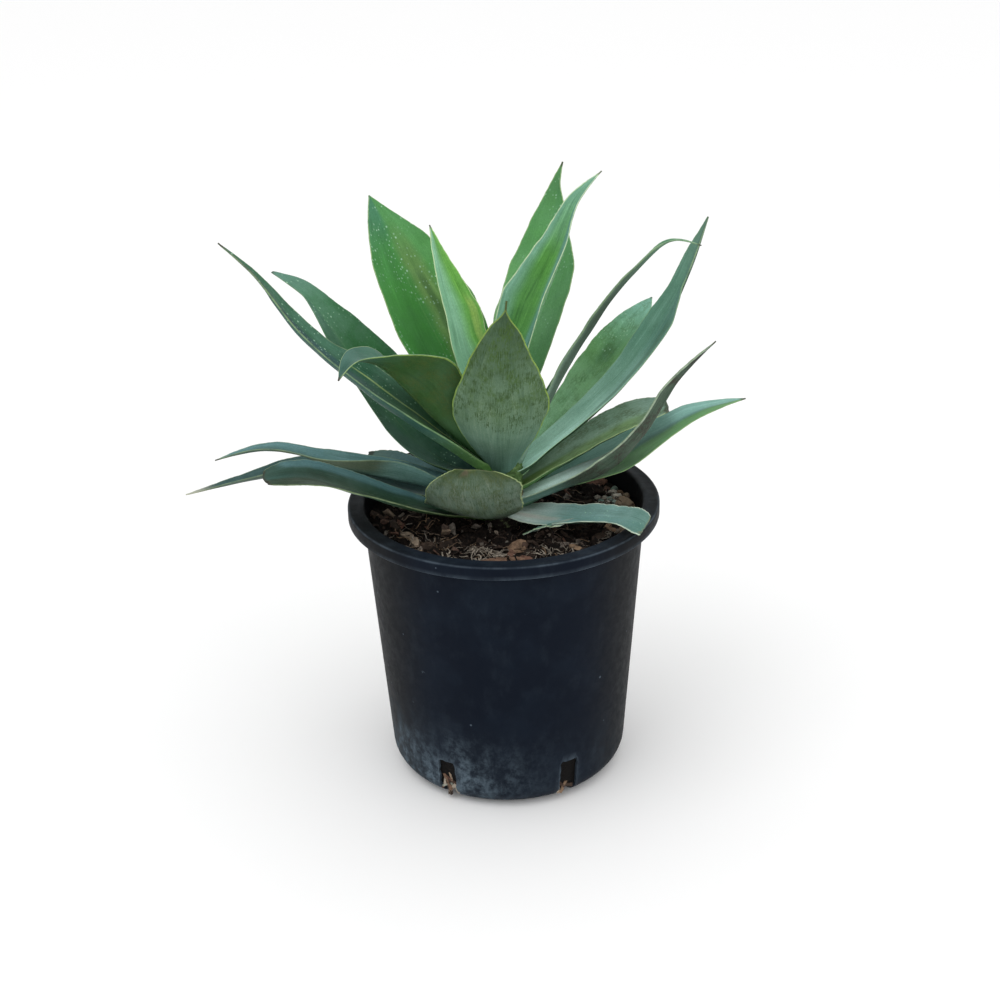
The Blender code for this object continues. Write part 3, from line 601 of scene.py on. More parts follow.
                   bandFrom=0.66, bandTo=0.69, endFrom=0.985, marginShare=0.3),
        under=dict(body=(80, 118, 86), tip=(106, 146, 126))),
    "right_blunt": dict(
        route=[(13.5, 14, 195), (40, 12, 208), (64, 13, 219), (90, 12, 231), (109, 10, 237)],
        width=38, widest=0.6, root=14, taper=4, fold=(15, 18, 12), cut=0.94, ragged=2.5, nibbled=0.2,
        upper=dict(root=(110, 140, 74), body=(116, 148, 94), tip=(112, 142, 118), left=(140, 172, 160),
                   leftShare=0.6, blotches=0.5, blotch=(72, 86, 44), blotchFrom=0.05, bloom=0.1,
                   streaks=0.5, flecks=0.25, end=(60, 66, 48), endShare=0.8, endFrom=0.97),
        under=dict(body=(74, 104, 70), tip=(86, 110, 88))),
    "right_narrow": dict(
        route=[(14.5, 330, 188.5), (40, 342, 200), (66, 346, 212), (90, 346, 239), (110, 346, 274),
               (133, 346, 300)],
        width=36, widest=0.35, root=18, taper=0.85, fold=(15, 23, 28), roll=(0, -13, -18),
        swells=((-1, 0.5, -3, 0.2),),
        # painted light: the near-white root colour is lighter than the leaf's own, against the shade in the
        # rosette
        upper=dict(root=(210, 238, 232), body=(112, 132, 120), tip=(78, 92, 84), rootReach=0.45,
                   streaks=0.6, margin=(160, 178, 134), band=(96, 84, 80), bandShare=0.8, bandAt=-0.15,
                   bandWidth=0.3, bandFrom=0.22, bandTo=0.7, marginShare=0.7),
        under=dict(root=(112, 148, 138), body=(72, 88, 74), tip=(54, 68, 60), blotches=0.7,
                   blotch=(62, 54, 50), blotchFrom=0.05, streaks=0.9, margin=(176, 196, 170), bloom=0.0,
                   marginShare=0.7)),
    "right_low": dict(
        route=[(13.5, 3, 183), (50, 8, 197), (77, 9, 207.5), (103, 9, 222), (129, 9, 234), (159, 9, 240)],
        width=52, widest=0.48, root=16, taper=1.35, fold=(12, 5, 5),
        swells=((1, 0.62, -4, 0.1), (-1, 0.7, -4, 0.15), (-1, 0.12, -5, 0.12)),
        # painted light: the left and right colours are lighter than the leaf's own, against the shade from
        # the leaf beside it
        upper=dict(root=(120, 160, 142), body=(92, 134, 124), tip=(128, 164, 154), tipFrom=0.75,
                   left=(146, 196, 184), leftShare=0.7, right=(98, 150, 86), rightShare=0.85, streaks=0.5,
                   bloom=0.12, margin=(158, 182, 128), marginShare=0.4),
        under=dict(root=(90, 128, 104), body=(70, 98, 74), tip=(90, 116, 100))),
    "back_low": dict(
        route=[(13.5, 92, 192), (50, 92, 204), (90, 91, 213), (125, 90, 219), (150, 90, 219)],
        width=46, widest=0.5, root=16, taper=1.7, fold=(15, 22, 15),
        upper=dict(body=(72, 118, 82), flecks=0.4),
        under=dict(body=(66, 104, 70))),
    "back_right_low": dict(
        route=[(13.5, 66, 182), (45, 65, 190), (80, 64, 198), (105, 64, 203), (122, 64, 204)],
        width=38, widest=0.5, root=16, taper=1.8, fold=(12, 22, 15),
        upper=dict(body=(74, 110, 94)),
        under=dict(body=(64, 96, 74))),
    "back_left_middle": dict(
        route=[(13.5, 112, 206), (45, 112, 224), (90, 112, 242), (125, 112, 256), (150, 112, 262)],
        width=52, widest=0.5, root=16, taper=1.6, fold=(18, 22, 10),
        upper=dict(body=(74, 124, 82), flecks=0.4),
        under=dict(body=(64, 104, 66))),
}

tornStrip = dict(route=[(51, 312, 183.6), (45, 303, 181.5), (42, 295, 179), (40, 287, 176.5)], width=8,
                 widest=0.2, root=7, taper=1.5, fold=(5,), thick=1.4, clasp=0.1)


# How every blade is meshed, in mm. stations, across: rows of points along and across. crowding: how the rows
# are spaced. samples: the steps that a route is measured in. nudge: the share of the length that a direction
# is taken over. sunk: how deep the foot sits in the stem. edgeWaves, faceWaves: how often the margins and
# the face undulate, in a long wave and a short one.
bladeForm = dict(stations=96, crowding=0.92, across=15, samples=400, nudge=0.004, sunk=6.0, filling=1.3,
                 margin=0.7, deepest=0.35, tipThick=0.7, thinning=0.7, tipWidth=0.6, bulge=0.3, flare=4.0,
                 leastRadius=4, wobble=0.25, edgeWaves=(31, 67), faceWaves=(17, 41), tears=9)


def spread(s, keys):
    # the keys shared out evenly along the blade, with soft passages
    keys = np.asarray(keys, float)
    if len(keys) == 1:
        return np.full_like(s, keys[0])
    place = s * (len(keys) - 1)
    first = np.clip(place.astype(int), 0, len(keys) - 2)
    share = np.clip(place - first, 0, 1)
    share = share * share * (3 - 2 * share)
    return keys[first] * (1 - share) + keys[first + 1] * share


def routePoints(route, s):
    radius, azimuth, height = np.array(route, float).T
    azimuth = np.radians(azimuth)
    stops = np.stack([radius * np.cos(azimuth), radius * np.sin(azimuth), height], 1)
    steps = np.linalg.norm(np.diff(stops, axis=0), axis=1)
    knots = np.concatenate([[0], np.cumsum(steps)])
    slopes = np.gradient(stops, knots, axis=0)
    slopes[0] = 1.5 * (stops[1] - stops[0]) / steps[0] - 0.5 * slopes[1]
    slopes[-1] = 1.5 * (stops[-1] - stops[-2]) / steps[-1] - 0.5 * slopes[-2]
    fine = np.linspace(0, knots[-1], bladeForm["samples"])
    leg = np.clip(np.searchsorted(knots, fine, side="right") - 1, 0, len(stops) - 2)
    run = steps[leg][:, None]
    u = (fine[:, None] - knots[leg][:, None]) / run
    curve = ((2 * u**3 - 3 * u**2 + 1) * stops[leg] + (u**3 - 2 * u**2 + u) * run * slopes[leg]
             + (3 * u**2 - 2 * u**3) * stops[leg + 1] + (u**3 - u**2) * run * slopes[leg + 1])
    travelled = np.concatenate([[0], np.cumsum(np.linalg.norm(np.diff(curve, axis=0), axis=1))])
    points = np.stack([np.interp(travelled[-1] * s, travelled, curve[:, k]) for k in range(3)], 1)
    # a part below 0 goes straight on into the stem
    points += np.minimum(s, 0)[:, None] * travelled[-1] * (curve[1] - curve[0]) / travelled[1]
    return points, travelled[-1]


def halfWidth(leaf, s, side):
    part = np.clip(s, 0, 1) * leaf["cut"]
    root = leaf["root"] / leaf["width"]
    grown = np.sin(math.pi / 2 * np.clip(part / leaf["widest"], 0, 1)) ** bladeForm["filling"]
    past = np.clip((part - leaf["widest"]) / (1 - leaf["widest"]), 0, 1)
    shares = np.where(part < leaf["widest"], root + (1 - root) * grown, 1 - past ** leaf["taper"])
    half = leaf["width"] / 2 * shares
    for swelling, place, outwards, reach in leaf["swells"]:
        if swelling == side:
            half = half + outwards * np.exp(-(((s - place) / reach) ** 2))
    return half


def bladeSurface(leaf, seed):
    f = bladeForm
    draw = np.random.default_rng(seed)
    length = routePoints(leaf["route"], np.zeros(1))[1]
    sunk = -f["sunk"] / length
    s = np.concatenate([[sunk, sunk / 2], np.linspace(0, 1, f["stations"]) ** f["crowding"]])
    v = np.sin(np.linspace(1, -1, f["across"]) * math.pi / 2)
    middle, ahead, behind = (routePoints(leaf["route"], np.clip(s + nudge, sunk, 1))[0]
                             for nudge in (0, f["nudge"], -f["nudge"]))
    forward = ahead - behind
    forward /= np.linalg.norm(forward, axis=1)[:, None]
    facing = math.radians(leaf["route"][1][1])
    level = np.array([-math.sin(facing), math.cos(facing), 0])
    left = level - (forward @ level)[:, None] * forward
    left /= np.linalg.norm(left, axis=1)[:, None]
    up = np.cross(forward, left)
    inside = np.clip(s, 0, 1)
    roll = np.radians(spread(inside, leaf["roll"]))[:, None]
    left, up = left * np.cos(roll) + up * np.sin(roll), up * np.cos(roll) - left * np.sin(roll)
    fold = np.radians(spread(inside, leaf["fold"]))
    thick = f["tipThick"] + (leaf["thick"] - f["tipThick"]) * (1 - inside) ** f["thinning"]
    waves = draw.uniform(0, math.tau, 8)
    (longEdge, shortEdge), (longFace, shortFace) = f["edgeWaves"], f["faceWaves"]
    body = np.sin(inside * math.pi) ** 0.5
    hug = np.exp(-((np.maximum(s, 0) * length / leaf["clasp"]) ** 2))
    sides = {}
    for sign in (1, -1):
        wobble = np.sin(s * longEdge + waves[0] + sign) + 0.6 * np.sin(s * shortEdge + waves[1] * sign)
        reach = halfWidth(leaf, s, sign) + f["flare"] * hug + body * f["wobble"] * wobble
        reach += leaf["nibbled"] * np.clip(draw.normal(0, 1, len(s)), -1.5, 1) * inside ** 0.5
        sides[sign] = np.maximum(reach, f["tipWidth"] / 2)
    torn = leaf["ragged"] * np.interp(v, np.linspace(-1, 1, f["tears"]), draw.uniform(-1, 0, f["tears"]))
    radius = np.maximum(np.hypot(middle[:, 0], middle[:, 1]), f["leastRadius"])
    azimuth = np.arctan2(middle[:, 1], middle[:, 0])
    upper, lower, shares, sizes = [], [], [], []
    for a, tear in zip(v, torn):
        reach = sides[1 if a >= 0 else -1]
        out = (reach * a * np.cos(fold))[:, None] * left
        lift = (reach * abs(a) ** leaf["channel"] * np.sin(fold))[:, None] * up
        wave = np.sin(s * longFace + waves[2] + 2.2 * a) + 0.5 * np.sin(s * shortFace + waves[3] - 3 * a)
        top = middle + out + lift + (0.6 * leaf["ripple"] * body * wave)[:, None] * up
        top += (tear * inside ** 6)[:, None] * forward
        # the foot of the blade bends round the stem
        turn = azimuth + reach * a / radius
        wrapped = np.stack([radius * np.cos(turn), radius * np.sin(turn), middle[:, 2] + lift[:, 2] / 2], 1)
        top = top * (1 - hug)[:, None] + wrapped * hug[:, None]
        depth = f["margin"] + np.clip(thick - f["margin"], 0, f["deepest"] * reach) * (1 - a * a)
        upper.append(top)
        lower.append(top - depth[:, None] * up)
        shares.append(np.stack([np.full_like(s, a), inside], 1))
        sizes.append(np.stack([reach * a, s * length, reach * (1 - abs(a))], 1))
    # each ring starts at the left margin, crosses the hollow face and comes back underneath
    margins = [(upper[k] + lower[k]) / 2 + side * f["bulge"] * left for k, side in ((0, 1), (-1, -1))]
    under = [0.5] + [0.0] * len(v) + [0.5] + [1.0] * len(v)
    shares, sizes = ([rows[0], *rows, rows[-1], *rows[::-1]] for rows in (shares, sizes))
    blade = [np.insert(row, 2, below, axis=1) for row, below in zip(shares, under)]
    rings = ([margins[0], *upper, margins[1], *lower[::-1]], blade, sizes)
    return [np.array(rows).transpose(1, 0, 2).reshape(-1, 3) for rows in rings]


def makeLeaves():
    rings, around = bladeForm["stations"] + 2, 2 * bladeForm["across"] + 2
    for number, (name, leaf) in enumerate(leaves.items()):
        node = "leaf_" + name
        parts = [leaf, tornStrip] if name == "front_right_torn" else [leaf]
        surfaces = [bladeSurface(leafDefaults | part, number + 3) for part in parts]
        points, blade, bladeMm = (np.concatenate(rows) for rows in zip(*surfaces))
        faces = [face for k in range(len(parts)) for face in tubeFaces(rings, around, k * rings * around)]
        mesh = builtMesh(node + "_skin", points, faces, blade=blade, bladeMm=bladeMm)
        mesh.materials.append(leafMaterial(node + " skin", leaf["upper"], leaf["under"]))
        finish(newPiece(node + "_skin", mesh), slotOf[node], node)
    print("leaves:", len(leaves))


# The nursery pot, a thin moulded shell with a rolled rim. hollow: how far the rim's top dips.
potForm = dict(height=185.5, rimRadius=100.0, rimThick=2.4, rimTurn=2.0, innerTurn=1.9, hollow=0.3,
               hollowFrom=5, ridge=1.2, lipDrop=8.5, lipThick=1.8, lipEdge=3, edge=0.5, tuck=1, fillet=0.8,
               wallTop=91.0, wallBase=77.0, wall=2.0, floor=2.2, floorRing=30, baseRounding=15.0, levels=24,
               turns=168)
slotForm = dict(count=6, firstAzimuth=239.0, width=12.5, height=30.5, corner=2.0, intoFloor=14.0,
                overrun=10.0, ragged=0.45, spacing=3)
# the painted highlight lines along the rim's ridge and the lip's foot, and the paler edges of the slots: how
# strongly, and how broad in mm
highlightAndSlotEdges = dict(ridge=0.7, foot=0.8, slot=0.55, ridgeIn=0.6, ridgeWidth=0.8, slotWidth=1.5, slotsBeyond=60)
# gap is the near black of the painted shade on the mix inside the pot
potLook = dict(gap=tone(6, 6, 6), plastic=tone(12, 19, 30), faded=tone(17, 25, 36), sideReflection=tone(20, 21, 22),
               dust=tone(96, 111, 122), scuffAndHighlight=tone(104, 118, 130))


def wallRadius(height, inward=0.0):
    slope = (potForm["wallTop"] - potForm["wallBase"]) / potForm["height"]
    return potForm["wallBase"] + slope * height - inward * math.hypot(1, slope)


def baseEdge(inward, steps):
    rounding = potForm["baseRounding"]
    lean = math.degrees(math.atan2(potForm["wallTop"] - potForm["wallBase"], potForm["height"]))
    return arc((wallRadius(rounding, rounding), rounding), rounding - inward, -lean, -90, steps)


def slotCutter(index):
    draw = random.Random(index + 11)
    half, top, over = slotForm["width"] / 2, slotForm["height"], slotForm["overrun"]
    corner, spacing = slotForm["corner"], slotForm["spacing"]
    sides = range(0, int(top - corner), spacing)
    outline = [(-half, -over), (half, -over), *[(half, z) for z in sides]]
    outline += arc((half - corner, top - corner), corner, 0, 90, 3)
    outline += [(y, top) for y in (spacing, 0, -spacing)]
    outline += arc((corner - half, top - corner), corner, 90, 180, 3) + [(-half, z) for z in reversed(sides)]
    inner, outer = potForm["wallBase"] - slotForm["intoFloor"], potForm["wallBase"] + over
    form = bmesh.new()
    corners = []
    for y, z in outline:
        rough = slotForm["ragged"] if z > -1 else 0
        y, z = y + draw.uniform(-rough, rough), z + draw.uniform(-rough, rough)
        corners.append(form.verts.new((inner * mm, y * mm, z * mm)))
    face = form.faces.new(corners)
    pushed = bmesh.ops.extrude_face_region(form, geom=[face])
    moved = [v for v in pushed["geom"] if isinstance(v, bmesh.types.BMVert)]
    bmesh.ops.translate(form, vec=((outer - inner) * mm, 0, 0), verts=moved)
    azimuth = math.radians(slotForm["firstAzimuth"] + 360 / slotForm["count"] * index)
    bmesh.ops.rotate(form, cent=(0, 0, 0), matrix=Matrix.Rotation(azimuth, 3, "Z"), verts=form.verts)
    bmesh.ops.recalc_face_normals(form, faces=form.faces)
    return newPiece("slotCutter", meshFrom(form, "slotCutter"))


def potMaterial():
    made, tree, shader = newMaterial("weathered pot plastic")
    place = objectPlace(tree)
    x, y, z = split(place)
    facing = split(add(tree, "ShaderNodeNewGeometry").outputs["Normal"])
    cloud = noise(place, 26.0, 5.0, 0.6)
    mottle = noise(scaled(place, (1.0, 1.0, 0.55)), 75.0, 6.0, 0.68)
    speckle = noise(place, 190.0, 6.0, 0.7)
    colour = blend(step(cloud, 0.42, 0.68), potLook["plastic"], potLook["faded"])
    # painted reflection: towards the left and right the pot turns a neutral grey, as if it reflected the
    # room
    colour = blend(step(away(x), 0.045, 0.08, 0.0, 0.85), colour, potLook["sideReflection"])
    colour = blend(step(mottle, 0.5, 0.75, 0.0, 0.035), colour, potLook["dust"])

    # dust low on the wall, most of it at the left of the front, and level faces a little paler
    low = step(plus(z, times(cloud, 0.06)), 0.1, 0.036)
    dusty = times(low, step(x, 0.03, -0.055, 0.1, 1.0), step(y, 0.02, -0.05, 0.35, 1.0),
                  step(mottle, 0.34, 0.62, 0.15, 1.0), step(speckle, 0.36, 0.62, 0.2, 1.0))
    level = times(step(facing[2], 0.5, 0.95), step(mottle, 0.36, 0.7, 0.02, 0.08))
    colour = blend(calc("MAXIMUM", dusty, level), colour, potLook["dust"])

    # a few pale specks and short scratches
    dots = wired("ShaderNodeTexVoronoi", {"Vector": place, "Scale": 170.0}).outputs
    pick = wired("ShaderNodeSeparateColor", {0: dots["Color"]}).outputs
    size = step(pick[1], 0.0, 1.0, 0.06, 0.2)
    dot = times(step(dots["Distance"], size, times(size, 0.4)), step(pick[0], 0.955, 0.965))
    slanted = wired("ShaderNodeVectorRotate", {0: place, "Axis": (0.0, 1.0, 0.0), "Angle": 1.1}).outputs[0]
    scratch = times(step(noise(scaled(slanted, (1.0, 1.0, 0.1)), 300.0, 2.0, 0.5), 0.73, 0.77),
                    step(cloud, 0.54, 0.62))
    colour = blend(times(calc("MAXIMUM", dot, scratch), 0.4), colour, potLook["scuffAndHighlight"])

    # painted highlight lines along the rim's ridge and the lip's foot, and paler edges round the slots
    worn = times(attribute(tree, "worn", "Fac"), step(mottle, 0.35, 0.62, 0.2, 0.65))
    colour = blend(worn, colour, potLook["scuffAndHighlight"])
    rough = plus(step(speckle, 0.3, 0.7, 0.46, 0.6), times(dusty, 0.3))
    dress(shader, colour, rough, plus(times(speckle, 0.6), times(scratch, -0.4)), 0.2, 0.0004, 0.05)
    return made


def potProfile():
    # round the shell, from the middle of the floor's inside to the middle of its underside
    height, radius, edge, turn = (potForm[key] for key in ("height", "rimRadius", "edge", "rimTurn"))
    wall, lip, small, hollow = (potForm[key] for key in ("wall", "lipThick", "innerTurn", "hollow"))
    foot, floor, ring = potForm["baseRounding"], potForm["floor"], potForm["floorRing"]
    underRim, lipFoot = height - potForm["rimThick"], height - potForm["lipDrop"]
    levels = [foot + (underRim - foot) * i / potForm["levels"] for i in range(1, potForm["levels"])]
    inside = baseEdge(wall, 10)[::-1]
    inner = wallRadius(height, wall)
    profile = [(0, floor), (ring, floor), (inside[0][0], floor), *inside[1:]]
    profile += [(wallRadius(z, wall), z) for z in levels]
    profile += arc((inner + turn, height - small), small, 180, 90, 5)
    profile += [(inner + 2 * turn, height - hollow / 2), (inner + potForm["hollowFrom"], height - hollow)]
    profile += [(radius - turn - potForm["ridge"], height - hollow)]
    profile += arc((radius - turn, height - turn), turn, 90, 0, 7) + [(radius, lipFoot + potForm["lipEdge"])]
    profile += arc((radius - edge, lipFoot + edge), edge, 0, -90, 3)
    profile += arc((radius - lip + edge, lipFoot + edge), edge, -90, -180, 3)
    profile += [(radius - lip, underRim - potForm["tuck"]), (radius - lip - potForm["fillet"], underRim)]
    profile += [(wallRadius(underRim) + potForm["fillet"], underRim)]
    profile += [(wallRadius(z), z) for z in levels[::-1]]
    return profile + [*baseEdge(0, 10), (ring, 0), (0, 0)]


# how pale each point is painted: a highlight line on the rim's ridge and the lip's foot, and a paler band
# round each slot
def highlightAndSlotEdgeAt(x, y, z):
    def close(value, centre, width):
        return max(0, 1 - abs(value - centre) / width)

    height, radius, half = potForm["height"], potForm["rimRadius"], slotForm["width"] / 2
    out, inset, width = math.hypot(x, y), highlightAndSlotEdges["ridgeIn"], highlightAndSlotEdges["ridgeWidth"]
    ridge = close(out, radius - inset, width) * close(z, height - inset, width)
    foot = close(z, height - potForm["lipDrop"], width) if out > radius - potForm["lipThick"] else 0
    between = 180 / slotForm["count"]
    turn = math.degrees(math.atan2(y, x)) - slotForm["firstAzimuth"]
    across = abs((turn + between) % (2 * between) - between) * math.radians(1) * out
    beside = close(across, half, highlightAndSlotEdges["slotWidth"]) if z < slotForm["height"] + 1 else 0
    above = close(z, slotForm["height"], highlightAndSlotEdges["slotWidth"]) if across < half else 0
    slot = max(beside, above) if out > highlightAndSlotEdges["slotsBeyond"] else 0
    return max(highlightAndSlotEdges["ridge"] * ridge, highlightAndSlotEdges["foot"] * foot, highlightAndSlotEdges["slot"] * slot)


def makePot():
    pot = turned("nursery_pot", potProfile(), potForm["turns"])
    cutters = [slotCutter(i) for i in range(slotForm["count"])]
    for cutter in cutters:
        cut = pot.modifiers.new("slot", "BOOLEAN")
        cut.operation = "DIFFERENCE"
        cut.object = cutter
    applied(pot)
    for cutter in cutters:
        bpy.data.objects.remove(cutter)
    smooth(pot.data)
    # the painted highlight lines and the slots' pale edges, kept in the attribute worn
    worn = pot.data.attributes.new("worn", "FLOAT", "POINT")
    for vertex, value in zip(pot.data.vertices, worn.data):
        value.value = highlightAndSlotEdgeAt(*(c / mm for c in vertex.co))
    pot.data.materials.append(potMaterial())
    finish(pot, "pot", "pot")
    print("pot:", len(pot.data.polygons), "faces")


# The potting mix. side: the heights of its points down the wall. crumb: how high the crumbs stand, and
# fractal: their roughness, gaps and octaves. The host is the ring of surface that the bits are scattered on.
soilForm = dict(level=170.5, dip=3.0, relief=2.0, crumb=3.2, crumbScale=0.15, fractal=(0.62, 2.1, 5),
                rings=60, turns=230, stemHole=13.3, stemFoot=139.7, gap=0.3, baseRing=40,
                side=(150, 120, 90, 60, 35, 25), hostRings=18, hostTurns=90, hostMargin=5)
mixLook = dict(dark=tone(8, 7, 6), chalk=tone(226, 218, 204), earth=tone(30, 23, 19), brown=tone(80, 66, 57),
               tan=tone(158, 132, 106), red=tone(124, 92, 78), grey=tone(158, 150, 140),
               pale=tone(196, 184, 168), teal=tone(150, 182, 172))


def soilHeight(x, y):
    out = math.hypot(x, y) / wallRadius(soilForm["level"], potForm["wall"])
    swell = math.sin(0.21 * x + 1.3) * math.cos(0.17 * y - 0.6) + 0.6 * math.sin(0.37 * y + 0.29 * x)
    relief = soilForm["relief"] * swell * min(1, 6 * (1 - out))
    return soilForm["level"] - soilForm["dip"] * (1 - out) + relief


def crumbHeight(x, y):
    place = Vector((x * soilForm["crumbScale"], y * soilForm["crumbScale"], 3.1))
    return soilHeight(x, y) + soilForm["crumb"] * lumps.fractal(place, *soilForm["fractal"])


def earthGroup():
    # broken earth and bark in a fine grain: near black in the grain's hollows, partly the earth's own dark
    # bits and partly painted shade, and paler where it stands highest
    inputs = dict(dark=mixLook["dark"], middle=mixLook["earth"], pale=mixLook["brown"], paleShare=0.5,
                  grain=300.0)
    tree, given, out = newGroup("earthGrain", inputs, dict(colour="Color", height="Float"))
    place = objectPlace(tree)
    fine = noise(place, given["grain"], 6.0, 0.7)
    broad = noise(place, 90.0, 4.0, 0.6)
    colour = blend(step(fine, 0.36, 0.56), given["dark"], given["middle"])
    pale = times(step(broad, 0.5, 0.66), step(fine, 0.5, 0.66), given["paleShare"])
    feed(out["colour"], blend(pale, colour, given["pale"]))
    feed(out["height"], plus(fine, times(broad, 0.5)))
    return tree


def earthMaterial(name, rough, bump, shades=(), paintedShadeBelow=0.0, **values):
    # shades: names in mixLook, picked by the attribute shade. paintedShadeBelow: a height in metres, below
    # which a painted shade turns the colour near black
    made, tree, shader = newMaterial(name)
    group = add(tree, "ShaderNodeGroup", values, node_tree=earthGrain).outputs
    colour = group["colour"]
    if shades:
        ramp = add(tree, "ShaderNodeValToRGB", {0: attribute(tree, "shade", "Fac")})
        stops = ramp.color_ramp.elements
        for stop in range(2, len(shades)):
            stops.new(stop / len(shades))
        for number, shade in enumerate(shades):
            stops[number].position = number / (len(shades) - 1)
            stops[number].color = mixLook[shade]
        colour = blend(0.75, colour, ramp.outputs[0])
        # painted shade: the hollows of the grain are darkened towards near black
        colour = blend(step(group["height"], 0.6, 0.85, 0.55, 0.0), colour, mixLook["dark"])
    # painted shade: below that height, where the mix is seen only through the slots, it is painted nearly
    # black
    if paintedShadeBelow:
        height = split(objectPlace(tree))[2]
        colour = blend(step(height, paintedShadeBelow, paintedShadeBelow - 0.01, 0.0, 0.8), colour, potLook["gap"])
    dress(shader, colour, rough, group["height"], bump)
    return made


def makeSoil():
    gap, level, foot = potForm["wall"] + soilForm["gap"], soilForm["level"], soilForm["stemFoot"]
    hole, inner, count = soilForm["stemHole"], wallRadius(level, gap), soilForm["rings"]
    base, edge = potForm["floor"] + soilForm["gap"], baseEdge(gap, 8)
    profile = [(0, foot), (hole, foot)]
    profile += [(hole + (inner - hole) * i / count, level) for i in range(count + 1)]
    profile += [(wallRadius(z, gap), z) for z in soilForm["side"]]
    profile += [*edge[:-1], (edge[-1][0], base), (soilForm["baseRing"], base), (0, base)]
    soil = turned("potting_mix", profile, soilForm["turns"])
    for vertex in soil.data.vertices:
        if vertex.co.z > (level - 1) * mm:
            vertex.co.z = crumbHeight(vertex.co.x / mm, vertex.co.y / mm) * mm
    smooth(soil.data, 60)
    # the mix's side is painted nearly black below 120 mm, a painted shade inside the pot
    skin = earthMaterial("potting mix", 0.95, 0.9, paintedShadeBelow=0.12, paleShare=0.7, grain=420.0)
    soil.data.materials.append(skin)
    finish(soil, "soil", "soil")
    print("soil:", len(soil.data.polygons), "faces")


# What lies on the mix, in metres: a Geometry Nodes tree scatters each kind over the surface. slender: from
# narrow to broad, as shares of the length. crook: how far, and how finely, each one is bent out of shape.
bitKinds = {
    "bark_flakes": dict(
        form="flake", slender=(0.3, 0.65), flat=0.34, crook=(0.0028, 420.0),
        inputs=dict(Density=11000.0, Smallest=0.0035, Largest=0.011, Sink=-0.0006, Tilt=0.9, Seed=4),
        shades=("dark", "earth", "brown", "dark", "earth", "brown", "red", "grey", "tan")),
    "mix_grains": dict(
        form="grain", slender=(0.6, 1.0), crook=(0.0011, 420.0),
        inputs=dict(Density=36000.0, Smallest=0.0008, Largest=0.0028, Sink=0.0, Tilt=1.5, Seed=9),
        shades=("dark", "earth", "dark", "brown", "earth", "brown", "dark", "grey")),
    "root_fibres": dict(
        form="fibre", slender=(0.3, 0.65), crook=(0.0092, 150.0), radius=0.00028, points=9, corners=4,
        inputs=dict(Density=9000.0, Smallest=0.006, Largest=0.018, Sink=-0.0012, Tilt=0.5, Seed=21),
        shades=("earth", "brown", "brown", "earth", "tan", "grey")),
}


def randomValue(low, high, seed, kind="FLOAT"):
    first, result = {"FLOAT": (2, 1), "FLOAT_VECTOR": (0, 0)}[kind]
    inputs = {first: low, first + 1: high, "Seed": seed}
    return wired("FunctionNodeRandomValue", inputs, data_type=kind).outputs[result]


def unitForm(tree, kind, length, across):
    # one bit, a metre long, and the size that each copy is given
    if kind["form"] == "flake":
        cuts = {"Vertices X": 4, "Vertices Y": 3, "Vertices Z": 2}
        unit = add(tree, "GeometryNodeMeshCube", {"Size": (1, 1, 1), **cuts})
        return unit.outputs[0], xyz(length, across, times(across, kind["flat"]))
    if kind["form"] == "grain":
        unit = add(tree, "GeometryNodeMeshIcoSphere", {"Radius": 0.5, "Subdivisions": 1})
        return unit.outputs[0], xyz(length, across, across)
    line = add(tree, "GeometryNodeCurvePrimitiveLine", {"Start": (-0.5, 0, 0), "End": (0.5, 0, 0)})
    unit = wired("GeometryNodeResampleCurve", {"Curve": line.outputs[0], "Count": kind["points"]})
    return unit.outputs[0], xyz(length, length, length)


